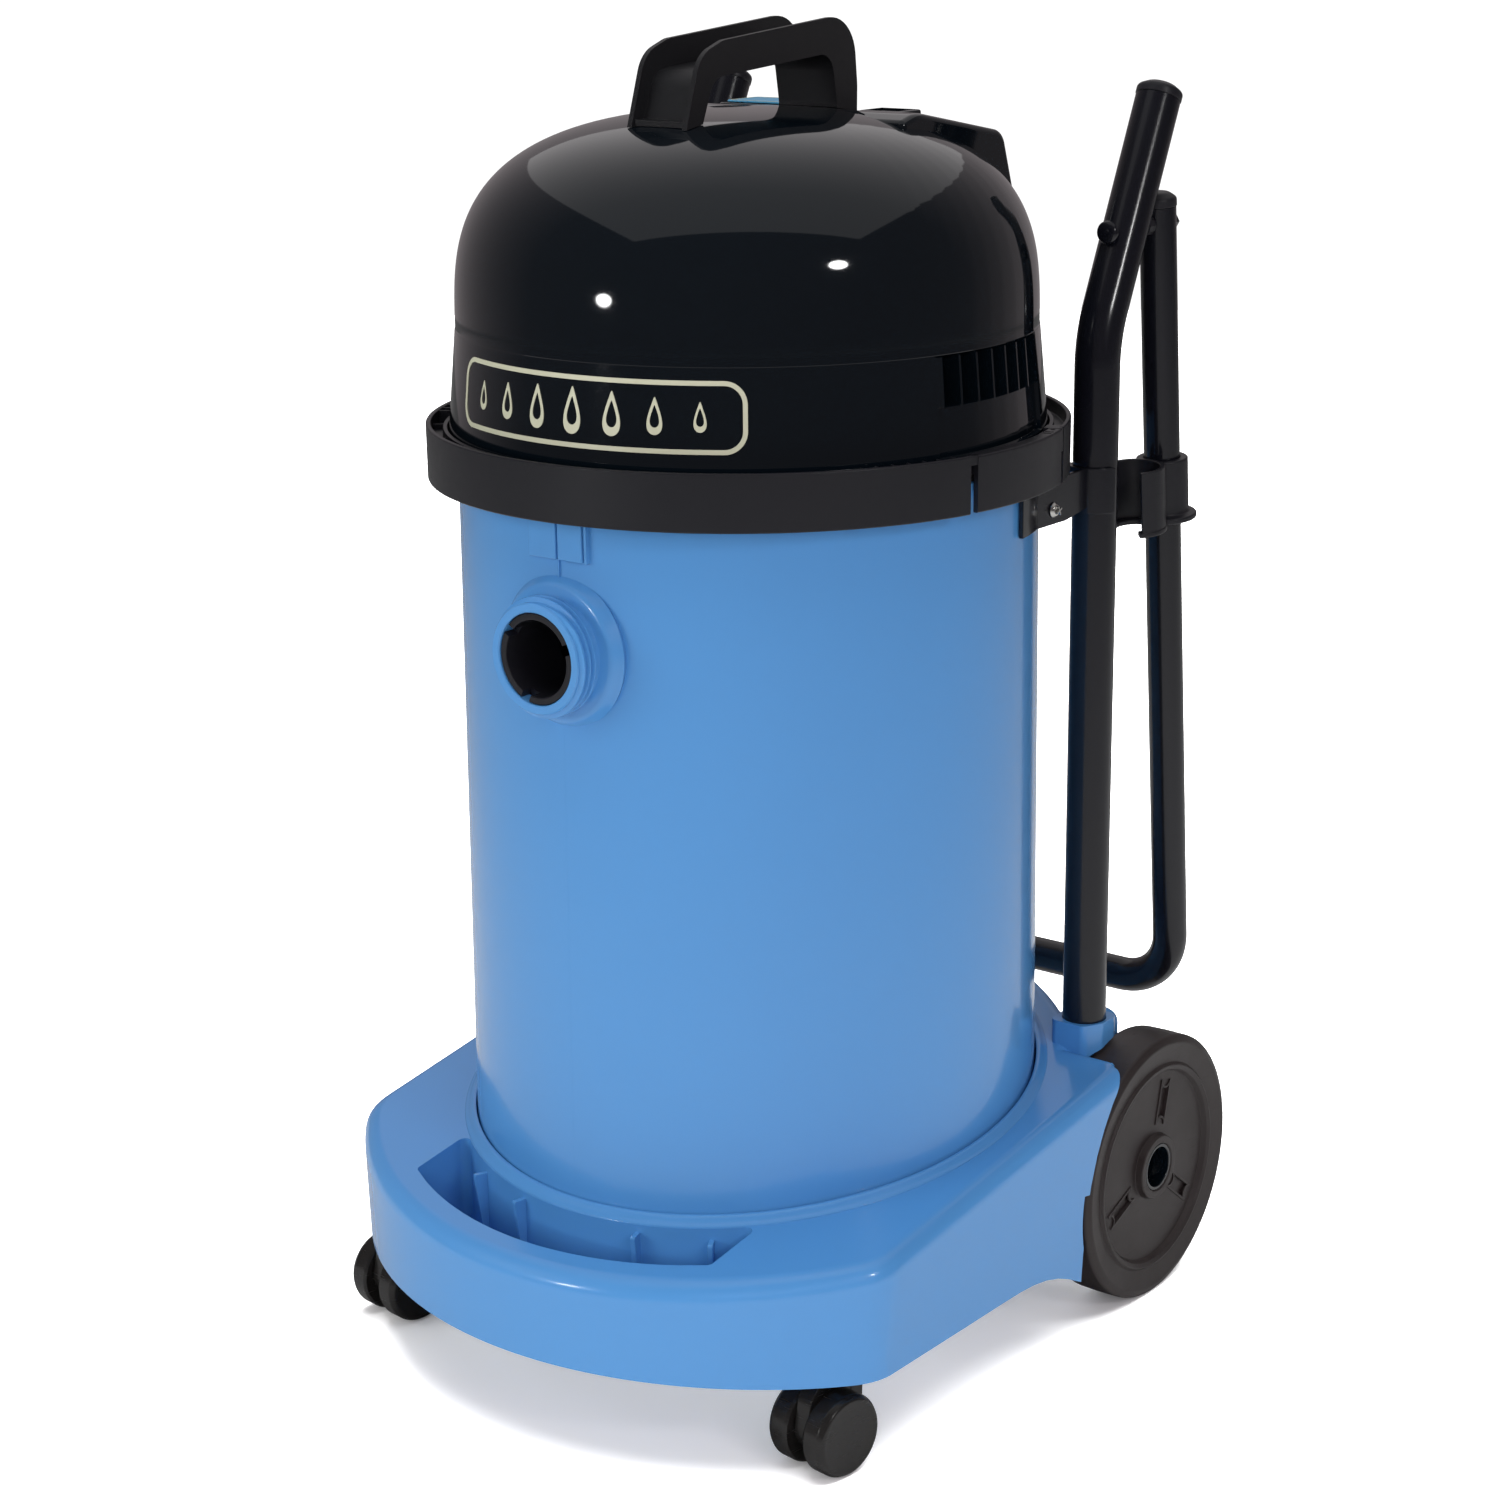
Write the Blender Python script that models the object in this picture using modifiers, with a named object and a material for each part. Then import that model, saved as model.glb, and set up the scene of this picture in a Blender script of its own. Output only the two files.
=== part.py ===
"""Wet pick-up drum vacuum on a two-wheel trolley.

Metres, +Z up, front towards -Y. Everything is modelled about the drum's axis and the floor, and hangs on
one empty, "base_point", that puts the middle of the whole plan at the world's origin.
"""

import math

import bmesh
import bpy
from mathutils import Matrix, Vector

# ---------------------------------------------------------------- driving dimensions
PLAN_SHIFT = -0.0028            # drum axis to the middle of the whole object, along Y
GAP = 0.0003                    # between touching pieces
SIDES = 40                      # facets round the big turned shapes

TANK_TOP_R, TANK_FOOT_R, WALL = 0.1702, 0.1730, 0.0030
TANK_FLOOR, TANK_RIM = 0.1000, 0.5490
RIM_R = 0.1835
NECK_Z, NECK_R, NECK_FACE, NECK_BORE = 0.4568, 0.0317, -0.1937, 0.0262

RING_R, RING_FOOT, RING_TOP = 0.1882, 0.5330, 0.5655
SHELF, SHELF_TOP = 0.5515, 0.5545        # inner flange of the ring
LATCH_FROM, LATCH_TO = 79.6, 107.3       # degrees round from the front
LATCH_SWING = math.radians(35)
LATCH_R0, LATCH_R1 = 0.1798, 0.1880

DOME_R, DOME_SPRING, DOME_TOP, DOME_FOOT_R = 0.1692, 0.6191, 0.7404, 0.1750
DOME_FOOT = SHELF_TOP + GAP
DOME_WALL = 0.0030
BOX_HALF = 0.0920

HANDLE_HALF = 0.0212
DECK_LEVEL, DECK_SLOPE = 0.1511, 0.1452  # deck height at the drum axis, rise per metre towards the rear
DECK_CURL, CURL_FROM = 0.5, 0.0500       # how much steeper it gets behind CURL_FROM
FRONT_R, FRONT_Y = 0.2523, 0.0130        # round front of the base and where its centre is
SIDE_X, FENDER_X, REAR_R = 0.2005, 0.2035, 0.2000
LUG_X, LUG_Y = 0.1370, 0.1680            # inner side and rear face of the lugs that carry the axle
CUP_R, CUP_FLOOR = 0.1745, 0.0995
WALL_BASE = 0.0040
SKIRT_FOOT = 0.0585
POCKET_R0, POCKET_R1, POCKET_FLOOR = 0.1812, 0.2190, 0.0660

FENDER_EDGE = (                 # (y, z) of everything behind the fender's outer edge
    (0.0683, -0.02), (0.0688, 0.060), (0.0710, 0.0900), (0.0755, 0.1100), (0.0840, 0.1320),
    (0.0950, 0.1530), (0.1060, 0.1720), (0.1060, 0.30), (0.30, 0.30), (0.30, -0.02),
)

WHEEL_R, WHEEL_Y, WHEEL_X0, WHEEL_X1 = 0.0850, 0.1540, 0.1660, 0.2010
AXLE_R = 0.0060
CASTOR_R, CASTOR_X, CASTOR_Y, CASTOR_TRAIL = 0.0245, 0.1645, -0.1500, 0.0160
CASTOR_TURN = math.radians(-8)

TUBE_R, TUBE_X, TUBE_Y, TUBE_FOOT = 0.0134, 0.1594, 0.1278, 0.1750
PAD_TOP = 0.1850                # the raised pad each push tube stands in
TUBE_LEAN = math.radians(25)
TUBE_KNEE, TUBE_TOP = 0.6070, 0.7400
HOOP_R = 0.0110
HOOP_TOP, HOOP_BAR = (0.1925, 0.6770), (0.2340, 0.1740)   # (y, z) of the leg's two ends
TUBE_WALL = 0.0015
BOLT_Z = 0.6670

EYE_R = 0.0220                  # motor inlet, closed by the float
FLOAT_R, CAGE_R, CAGE_FOOT = 0.0280, 0.0330, 0.4620

# ---------------------------------------------------------------- scene and helpers
for item in list(bpy.data.objects):
    bpy.data.objects.remove(item, do_unlink=True)

parts = bpy.data.collections.new("wet_pickup_vacuum")
cutters = bpy.data.collections.new("cutters")
for collection in (parts, cutters):
    bpy.context.scene.collection.children.link(collection)

base_point = bpy.data.objects.new("base_point", None)
base_point.location = (0, PLAN_SHIFT, 0)
parts.objects.link(base_point)


def material(name, colour, roughness, metallic=0.0):
    made = bpy.data.materials.new(name)
    made.use_nodes = True
    shader = made.node_tree.nodes["Principled BSDF"]
    shader.inputs["Base Color"].default_value = (*colour, 1)
    shader.inputs["Roughness"].default_value = roughness
    shader.inputs["Metallic"].default_value = metallic
    made.diffuse_color = (*colour, 1)
    return made


def place(item, is_cutter=False, look=None):
    """Puts an object in its collection, under the base point, with its material."""
    for collection in list(item.users_collection):
        collection.objects.unlink(item)
    (cutters if is_cutter else parts).objects.link(item)
    item.parent = base_point
    if is_cutter:
        item.hide_render = True
        item.display_type = "WIRE"
    if look:
        item.data.materials.clear()
        item.data.materials.append(material(item.name, *look))
    return item


def mesh_object(name, build):
    """An object whose mesh is what build(bm) makes."""
    mesh = bpy.data.meshes.new(name)
    bm = bmesh.new()
    build(bm)
    bmesh.ops.recalc_face_normals(bm, faces=bm.faces)
    bm.to_mesh(mesh)
    bm.free()
    return bpy.data.objects.new(name, mesh)


def smooth(item, angle=40):
    item.data.shade_smooth()
    item.data.set_sharp_from_angle(angle=math.radians(angle))
    return item


def turned(name, profile, look=None, at=(0, 0, 0), axis="Z", sides=SIDES, closed=True, is_cutter=False):
    """A profile of (radius, height) turned about an axis through at. An open one ends on the axis."""
    count = len(profile)
    mesh = bpy.data.meshes.new(name)
    edges = [(i, (i + 1) % count) for i in range(count if closed else count - 1)]
    mesh.from_pydata([(r, 0, h) for r, h in profile], edges, [])
    item = bpy.data.objects.new(name, mesh)
    screw = item.modifiers.new("turn", "SCREW")
    screw.axis = "Z"
    screw.steps = screw.render_steps = sides
    screw.use_merge_vertices = True
    screw.merge_threshold = 0.00001
    screw.use_smooth_shade = True
    item.location = at
    item.rotation_euler = {"Z": (0, 0, 0), "X": (0, math.pi / 2, 0), "Y": (-math.pi / 2, 0, 0)}[axis]
    return place(item, is_cutter, look)


def ring_profile(r0, r1, z0, z1):
    return [(r1, z1), (r1, z0), (r0, z0), (r0, z1)]


def disc(name, radius, z0, z1, look=None, at=(0, 0, 0), axis="Z", sides=20, is_cutter=False):
    profile = [(0, z1), (radius, z1), (radius, z0), (0, z0)]
    return turned(name, profile, look, at, axis, sides, closed=False, is_cutter=is_cutter)


def box(name, low, high, look=None, is_cutter=False):
    size = Vector(high) - Vector(low)
    middle = (Vector(high) + Vector(low)) / 2

    def build(bm):
        bmesh.ops.create_cube(bm, size=1, matrix=Matrix.Diagonal((*size, 1)))

    item = mesh_object(name, build)
    item.location = middle
    return place(item, is_cutter, look)


PLANES = {
    "XY": Matrix(((1, 0, 0), (0, 1, 0), (0, 0, 1))),
    "YZ": Matrix(((0, 0, 1), (1, 0, 0), (0, 1, 0))),
}


def as_mesh(curve_object):
    """The curve's evaluated mesh as a new object in the same place, its caps welded."""
    bpy.context.scene.collection.objects.link(curve_object)
    graph = bpy.context.evaluated_depsgraph_get()
    mesh = bpy.data.meshes.new_from_object(curve_object.evaluated_get(graph))
    bm = bmesh.new()
    bm.from_mesh(mesh)
    bmesh.ops.remove_doubles(bm, verts=bm.verts, dist=0.00001)
    bmesh.ops.recalc_face_normals(bm, faces=bm.faces)
    bm.to_mesh(mesh)
    bm.free()
    item = bpy.data.objects.new(curve_object.name + "_mesh", mesh)
    item.matrix_world = curve_object.matrix_world.copy()
    name = curve_object.name
    bpy.data.objects.remove(curve_object, do_unlink=True)
    item.name = name
    return item


def plate(name, outline, low, high, look=None, plane="XY", is_cutter=False):
    """A flat outline, drawn in a plane, filled and thickened from low to high across the plane."""
    curve = bpy.data.curves.new(name, "CURVE")
    curve.dimensions = "2D"
    curve.fill_mode = "BOTH"
    curve.extrude = (high - low) / 2
    spline = curve.splines.new("POLY")
    spline.points.add(len(outline) - 1)
    for point, (u, v) in zip(spline.points, outline):
        point.co = (u, v, 0, 1)
    spline.use_cyclic_u = True
    item = bpy.data.objects.new(name, curve)
    turn = PLANES[plane].to_4x4()
    item.matrix_world = turn @ Matrix.Translation((0, 0, (low + high) / 2))
    bpy.context.view_layer.update()
    return place(as_mesh(item), is_cutter, look)


def rod(name, points, radius, look=None, is_cutter=False, resolution=4):
    """A round bar along a path."""
    curve = bpy.data.curves.new(name, "CURVE")
    curve.dimensions = "3D"
    curve.bevel_depth = radius
    curve.bevel_resolution = resolution
    curve.use_fill_caps = True
    spline = curve.splines.new("POLY")
    spline.points.add(len(points) - 1)
    for point, place_at in zip(spline.points, points):
        point.co = (*place_at, 1)
    return place(as_mesh(bpy.data.objects.new(name, curve)), is_cutter, look)


def boolean(item, other, operation):
    change = item.modifiers.new(operation.lower() + "_" + other.name, "BOOLEAN")
    change.operation = operation
    change.solver = "EXACT"
    change.object = other
    return item


def cut(item, *others):
    for other in others:
        boolean(item, other, "DIFFERENCE")
    return item


def join(item, *others):
    for other in others:
        boolean(item, other, "UNION")
    return item


def arc(radius, start, end, steps, centre=(0, 0)):
    """Points on a circle; angles in degrees round from the front (-Y), towards +X."""
    turns = [math.radians(start + (end - start) * i / steps) for i in range(steps + 1)]
    return [(centre[0] + radius * math.sin(a), centre[1] - radius * math.cos(a)) for a in turns]


def rounded(corners, steps=3):
    """The outline through (u, v, radius) corners, each turned with an arc of that radius."""
    made = []
    count = len(corners)
    for i, (u, v, radius) in enumerate(corners):
        here = Vector((u, v))
        before = Vector(corners[i - 1][:2]) - here
        after = Vector(corners[(i + 1) % count][:2]) - here
        if radius == 0:
            made.append((u, v))
            continue
        half = before.angle(after) / 2
        reach = radius / math.tan(half)
        middle = here + (before.normalized() + after.normalized()).normalized() * radius / math.sin(half)
        start = here + before.normalized() * reach - middle
        swing = start.angle_signed(here + after.normalized() * reach - middle)
        for k in range(steps + 1):
            made.append(tuple(middle + Matrix.Rotation(-swing * k / steps, 2) @ start))
    return made


def sector(r0, r1, start, end, steps):
    return arc(r1, start, end, steps) + arc(r0, end, start, steps)


def mirrored(points):
    return [(-x, y, z) for x, y, z in points]


def deck(y):
    return DECK_LEVEL + DECK_SLOPE * y + DECK_CURL * max(y - CURL_FROM, 0) ** 2


SIDE = {"right": 1, "left": -1}
BLUE = ((0.10, 0.31, 0.62), 0.28)
BLACK = ((0.012, 0.016, 0.022), 0.12)
SATIN = ((0.018, 0.018, 0.022), 0.45)
PAINT = ((0.010, 0.011, 0.018), 0.22, 0.3)
TYRE = ((0.045, 0.036, 0.034), 0.70)
STEEL = ((0.62, 0.62, 0.64), 0.30, 1.0)
RUBBER = ((0.02, 0.02, 0.02), 0.85)
ALLOY = ((0.55, 0.56, 0.58), 0.45, 1.0)


# ---------------------------------------------------------------- tank and inlet
def make_tank():
    inner_top, inner_foot = TANK_TOP_R - WALL, TANK_FOOT_R - WALL
    profile = [
        (0, TANK_FLOOR + WALL), (inner_foot - 0.008, TANK_FLOOR + WALL), (inner_foot, TANK_FLOOR + 0.012),
        (inner_top, TANK_RIM - 0.012), (inner_top + 0.002, TANK_RIM),
        (RIM_R, TANK_RIM), (RIM_R, TANK_RIM - 0.0038), (TANK_TOP_R + 0.0012, TANK_RIM - 0.0050),
        (TANK_TOP_R, TANK_RIM - 0.014), (TANK_FOOT_R, TANK_FLOOR + 0.012),
        (TANK_FOOT_R - 0.008, TANK_FLOOR), (0, TANK_FLOOR),
    ]
    tank = turned("tank", profile, BLUE, closed=False)
    neck_line = [(0, -0.1600), (0.0400, -0.1600), (0.0400, -0.1752), (NECK_R, -0.1752), (NECK_R, NECK_FACE),
                 (0, NECK_FACE)]
    neck = turned("neck_body", neck_line, at=(0, 0, NECK_Z), axis="Y", sides=28, closed=False,
                  is_cutter=True)
    bore = disc("neck_bore", NECK_BORE, -0.25, -0.12, at=(0, 0, NECK_Z), axis="Y", sides=28, is_cutter=True)
    tab = box("rim_tab", (-0.0205, -0.1731, 0.5090), (0.0205, -0.1690, 0.5400), is_cutter=True)
    join(tank, neck, tab)
    cut(tank, bore)
    sleeve = ring_profile(0.0225, NECK_BORE - GAP, -0.1920, -0.1480)
    turned("inlet_sleeve", sleeve, SATIN, at=(0, 0, NECK_Z), axis="Y", sides=28)
    hood = box("inlet_baffle", (-0.036, -0.1560, 0.405), (0.036, -0.100, 0.505), SATIN)
    cut(hood, box("baffle_hollow", (-0.033, -0.153, 0.39), (0.033, -0.103, 0.502), is_cutter=True))
    cut(hood, disc("baffle_hole", NECK_BORE, -0.20, -0.13, at=(0, 0, NECK_Z), axis="Y", sides=28,
                   is_cutter=True))


# ---------------------------------------------------------------- head ring, latches and seal
def make_ring():
    lip_in, lip_out = DOME_FOOT_R + 0.0008, DOME_FOOT_R + 0.0034
    profile = [
        (RING_R - 0.0027, RING_TOP), (RING_R, RING_TOP), (RING_R, RING_FOOT), (RING_R - 0.0030, RING_FOOT),
        (RING_R - 0.0030, SHELF), (0.150, SHELF), (0.150, SHELF_TOP), (lip_in, SHELF_TOP),
        (lip_in, RING_TOP - 0.003), (lip_out, RING_TOP - 0.003), (lip_out, SHELF_TOP + 0.003),
        (RING_R - 0.0027, SHELF_TOP + 0.003),
    ]
    ring = turned("rim_ring", profile, SATIN)
    pin_r = (LATCH_R0 + LATCH_R1) / 2
    knuckle = (LATCH_R1 - LATCH_R0) / 2
    for name, way in SIDE.items():
        pin_x, pin_y = arc(pin_r, way * LATCH_TO, 0, 1)[0]
        window = sector(LATCH_R0 - 0.0006, 0.20, LATCH_FROM - 1.8, LATCH_TO + 2.6, 8)
        window = [(way * x, y) for x, y in window]
        opening = plate(f"latch_window_{name}", window, 0.52, 0.60, is_cutter=True)
        cover = sector(LATCH_R0 - 0.004, RING_R - 0.0004, 101.5, LATCH_TO + 4.0, 3)
        cover = [(way * x, y) for x, y in cover]
        lug = plate(f"latch_lug_{name}", cover, 0.5620, RING_TOP - 0.0002, is_cutter=True)
        pin_hole = disc(f"pin_hole_{name}", 0.0019, 0.50, 0.60, at=(pin_x, pin_y, 0), sides=10,
                        is_cutter=True)
        cut(ring, opening)
        join(ring, lug)
        cut(ring, pin_hole)
        end = arc(knuckle, LATCH_TO + 90, LATCH_TO + 270, 5, centre=arc(pin_r, LATCH_TO, 0, 1)[0])
        body = arc(LATCH_R1, LATCH_FROM, LATCH_TO, 7)[:-1] + end + arc(LATCH_R0, LATCH_TO, LATCH_FROM, 7)[1:]
        body = [(way * x - pin_x, y - pin_y) for x, y in body]
        latch = plate(f"latch_{name}", body, RING_FOOT + 0.0003, RING_TOP - 0.0005, SATIN)
        latch.location = (pin_x, pin_y, (RING_FOOT + RING_TOP) / 2)
        step = sector(LATCH_R0 - 0.004, 0.20, 100.9, LATCH_TO + 6, 3)
        step = [(way * x, y) for x, y in step]
        cut(latch, plate(f"latch_step_{name}", step, 0.5615, 0.60, is_cutter=True))
        cut(latch, pin_hole)
        for swing in range(4):
            at = Matrix.Rotation(-way * LATCH_SWING * swing / 3, 3, "Z") @ Vector((-pin_x, -pin_y, 0))
            cut(latch, disc(f"rim_room_{name}_{swing}", RIM_R + 0.0012, 0.50, SHELF + 0.0003,
                            at=(pin_x + at.x, pin_y + at.y, 0), sides=2 * SIDES, is_cutter=True))
        disc(f"latch_pin_{name}", 0.0016, SHELF + 0.0012, RING_TOP - 0.0003, STEEL,
             at=(pin_x, pin_y, 0), sides=10)
    turned("rim_gasket", ring_profile(0.1700, 0.1800, TANK_RIM + GAP, SHELF - GAP), RUBBER)


# ---------------------------------------------------------------- dome cover and what is on it
def dome_profile(inset, steps=9):
    """Points down the dome's side from its crown, moved inwards by inset."""
    made = []
    for i in range(steps + 1):
        turn = math.pi / 2 * (1 - i / steps)
        radius = max(DOME_R - inset, 0) * math.cos(turn) ** 0.742 if i else 0
        rise = (DOME_TOP - DOME_SPRING - inset) * math.sin(turn) ** 0.652
        made.append((radius, DOME_SPRING + rise))
    return made


def box_outline(inset):
    """Side view (y, z) of the rear housing."""
    return rounded([
        (0.020, 0.640, 0), (0.020, 0.7300, 0), (0.040, 0.7385 - inset, 0),
        (0.130 - inset, 0.7225 - inset, 0.010), (0.1680 - inset, 0.6100 + inset, 0.004),
        (0.120, 0.600 + inset, 0),
    ])


def make_dome():
    outer = dome_profile(0) + [(DOME_FOOT_R, DOME_FOOT), (0, DOME_FOOT)]
    inner_foot = DOME_FOOT_R - DOME_WALL
    inner = dome_profile(DOME_WALL) + [(inner_foot, DOME_FOOT), (inner_foot, 0.54), (0, 0.54)]
    dome = turned("dome_cover", outer, BLACK, closed=False)
    hollow = turned("dome_hollow", inner, closed=False, is_cutter=True)
    housing = plate("rear_housing", box_outline(0), -BOX_HALF, BOX_HALF, plane="YZ", is_cutter=True)
    housing_hollow = plate("rear_hollow", box_outline(DOME_WALL), DOME_WALL - BOX_HALF, BOX_HALF - DOME_WALL,
                           plane="YZ", is_cutter=True)
    pod = box("switch_pod", (-0.088, 0.084, 0.710), (-0.018, 0.124, 0.7355), is_cutter=True)
    join(dome, housing, pod)
    cut(dome, hollow, housing_hollow)
    vents = mesh_object("vents", cut_vents)
    place(vents, is_cutter=True)
    switch_hole = box("switch_hole", (0.030, 0.072, 0.70), (0.056, 0.092, 0.76), is_cutter=True)
    cut(dome, vents, switch_hole)
    box("label_plate", (-0.084, 0.088, 0.7355 + GAP), (-0.022, 0.120, 0.7370), ((0.10, 0.38, 0.62), 0.35))
    return dome


def cut_vents(bm):
    """Slots through the dome's lower sides, between its fins."""
    for way in SIDE.values():
        for i in range(7):
            turn = math.radians(way * (77.5 + 4.6 * i) - 90)
            slot = Matrix.Rotation(turn, 4, "Z") @ Matrix.Translation((0.172, 0, 0.604))
            bmesh.ops.create_cube(bm, size=1, matrix=slot @ Matrix.Diagonal((0.03, 0.0098, 0.028, 1)))


def make_handle():
    """An arch with an outward-open channel section, its two feet screwed to the dome."""
    outside = [(-0.0795, 0.700, 0), (-0.0795, 0.7340, 0), (-0.0660, 0.7760, 0.022), (-0.0440, 0.7815, 0),
               (0.0640, 0.7905, 0.022), (0.0805, 0.7520, 0.02), (0.0790, 0.700, 0)]
    outside = rounded(outside, 4)
    hole = rounded([(0.0600, 0.700, 0), (0.0610, 0.7420, 0), (0.0550, 0.7680, 0.012),
                    (-0.0550, 0.7600, 0.014), (-0.0690, 0.700, 0)], 4)
    web = rounded([(-0.0725, 0.700, 0), (-0.0595, 0.7645, 0.015), (0.0590, 0.7725, 0.014),
                   (0.0650, 0.7420, 0), (0.0640, 0.700, 0)], 4)
    near = HANDLE_HALF
    handle = plate("carry_handle", outside, -near, near, SATIN, plane="YZ")
    opening = plate("handle_opening", hole, -0.05, 0.05, plane="YZ", is_cutter=True)
    rim = plate("handle_channel", [(-0.12, 0.745), (-0.12, 0.85), (0.12, 0.85), (0.12, 0.745)],
                -near + 0.003, near - 0.003, plane="YZ", is_cutter=True)
    legs = plate("handle_legs", [(-0.12, 0.690), (-0.12, 0.7451), (0.12, 0.7451), (0.12, 0.690)],
                 -near + 0.003, near - 0.003, plane="YZ", is_cutter=True)
    keep = plate("handle_web", web, -0.06, 0.06, plane="YZ", is_cutter=True)
    feet = box("handle_feet", (-0.05, -0.0765, 0.70), (0.05, 0.0770, 0.7415), is_cutter=True)
    cut(rim, keep)
    cut(legs, keep, feet)
    cut(handle, opening, rim, legs)
    seat = turned("handle_seat", dome_profile(-GAP) + [(0, DOME_SPRING)], closed=False, is_cutter=True)
    cut(handle, seat)
    return handle


def make_handle_screws(dome, handle):
    for name, y in (("front", -0.0742), ("rear", 0.0702)):
        hole = disc(f"screw_hole_{name}", 0.0024, 0.700, 0.7395, at=(0, y, 0), sides=10, is_cutter=True)
        cut(dome, hole)
        cut(handle, hole)
        profile = [(0, 0.7385), (0.0020, 0.7385), (0.0020, 0.7262), (0.0045, 0.7262), (0.0045, 0.7235),
                   (0, 0.7235)]
        turned(f"handle_screw_{name}", profile, STEEL, at=(0, y, 0), sides=10, closed=False)


def make_switch_and_socket(dome):
    rocker = [(-0.0074, -0.006), (0.0074, -0.006), (0.0088, 0.0040), (0, 0.0022), (-0.0088, 0.0040)]
    button = plate("rocker_switch", rocker, -0.0115, 0.0115, ((0.02, 0.02, 0.02), 0.3), plane="YZ")
    button.location = (0.043, 0.082, 0.7312)
    frame = box("switch_case", (0.0304, 0.0724, 0.7120), (0.0556, 0.0916, 0.7290), SATIN)
    cut(frame, box("case_hollow", (0.0312, 0.0731, 0.7235), (0.0548, 0.0909, 0.74), is_cutter=True))
    hole = disc("socket_hole", 0.0125, 0.13, 0.20, at=(0, 0, 0.655), axis="Y", is_cutter=True)
    cut(dome, hole)
    profile = [(0, 0.1440), (0.0105, 0.1440), (0.0105, 0.1680), (0.0122, 0.1680), (0.0122, 0.1400),
               (0, 0.1400)]
    turned("cable_socket", profile, SATIN, at=(0, 0, 0.655), axis="Y", sides=20, closed=False)


# ---------------------------------------------------------------- motor, fan and float
def make_motor():
    plate_z0, plate_z1 = SHELF_TOP + GAP, SHELF_TOP + 0.0043
    turned("motor_plate", ring_profile(EYE_R, 0.1680, plate_z0, plate_z1), SATIN)
    seal_top = plate_z1 + 0.0033
    turned("motor_seal", ring_profile(0.060, 0.070, plate_z1 + GAP, seal_top), RUBBER, sides=24)
    low = seal_top + GAP
    case = [(0.0110, low + 0.054), (0.0720, low + 0.054), (0.0720, low), (0.0240, low), (0.0240, low + 0.002),
            (0.0700, low + 0.002), (0.0700, low + 0.052), (0.0110, low + 0.052)]
    turned("fan_case", case, ALLOY, sides=24)
    base = low + 0.0543
    frame = [(0.0420, base + 0.075), (0.0450, base + 0.070), (0.0450, base), (0.0260, base),
             (0.0260, base + 0.072), (0.0070, base + 0.072), (0.0070, base + 0.075)]
    turned("motor_frame", frame, ALLOY, sides=24)
    rotor = [(0, base + 0.086), (0.0040, base + 0.086), (0.0040, base + 0.055), (0.0225, base + 0.055),
             (0.0225, base + 0.010), (0.0040, base + 0.010), (0.0040, base - 0.014), (0.0120, base - 0.014),
             (0.0660, base - 0.020), (0.0660, base - 0.040), (0.0120, base - 0.040), (0.0120, base - 0.046),
             (0, base - 0.046)]
    turned("rotor", rotor, ALLOY, sides=20, closed=False)
    foam = ring_profile(0.110, 0.135, plate_z1 + GAP, 0.600)
    turned("exhaust_foam", foam, ((0.05, 0.05, 0.055), 0.95), sides=24)


def make_float():
    top = SHELF_TOP
    cage = [(0.046, top), (0.046, top - 0.003), (CAGE_R, top - 0.003), (CAGE_R, CAGE_FOOT),
            (0.010, CAGE_FOOT), (0.010, CAGE_FOOT + 0.003), (CAGE_R - 0.003, CAGE_FOOT + 0.003),
            (CAGE_R - 0.003, top)]
    cage_item = turned("float_cage", cage, SATIN, sides=24)
    for name, low, high in (("x", (-0.05, -0.012), (0.05, 0.012)), ("y", (-0.012, -0.05), (0.012, 0.05))):
        window = box(f"cage_window_{name}", (*low, CAGE_FOOT + 0.012), (*high, top - 0.014), is_cutter=True)
        cut(cage_item, window)

    def build(bm):
        bmesh.ops.create_uvsphere(bm, u_segments=16, v_segments=10, radius=FLOAT_R)

    ball = smooth(mesh_object("float_ball", build))
    ball.location = (0, 0, CAGE_FOOT + 0.003 + FLOAT_R + GAP)
    place(ball, look=((0.75, 0.74, 0.70), 0.4))


# ---------------------------------------------------------------- trolley base
def base_outline(inset):
    """Plan of the trolley base: a round front, straight sides, a lug beside each wheel and a round rear."""
    reach = FRONT_R - inset
    side, fender = SIDE_X - inset, FENDER_X - inset
    turn = math.degrees(math.asin(side / reach))
    front = [(x, y, 0) for x, y in arc(reach, -turn, turn, 14, (0, FRONT_Y))]
    front[0] = (*front[0][:2], 0.034)
    front[-1] = (*front[-1][:2], 0.034)
    tail = WHEEL_X0 - 0.0035 - inset
    right = [(fender, 0.1150 - inset, 0.009), (tail, 0.1150 - inset, 0.003), (tail, LUG_Y - inset, 0.010),
             (LUG_X + inset, LUG_Y - inset, 0.004)]
    half = math.degrees(math.asin((LUG_X + inset) / (REAR_R - inset)))
    rear = [(x, y, 0) for x, y in arc(REAR_R - inset, 180 - half, 180 + half, 8)]
    return rounded(front + right + rear + [(-x, y, r) for x, y, r in reversed(right)])


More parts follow.
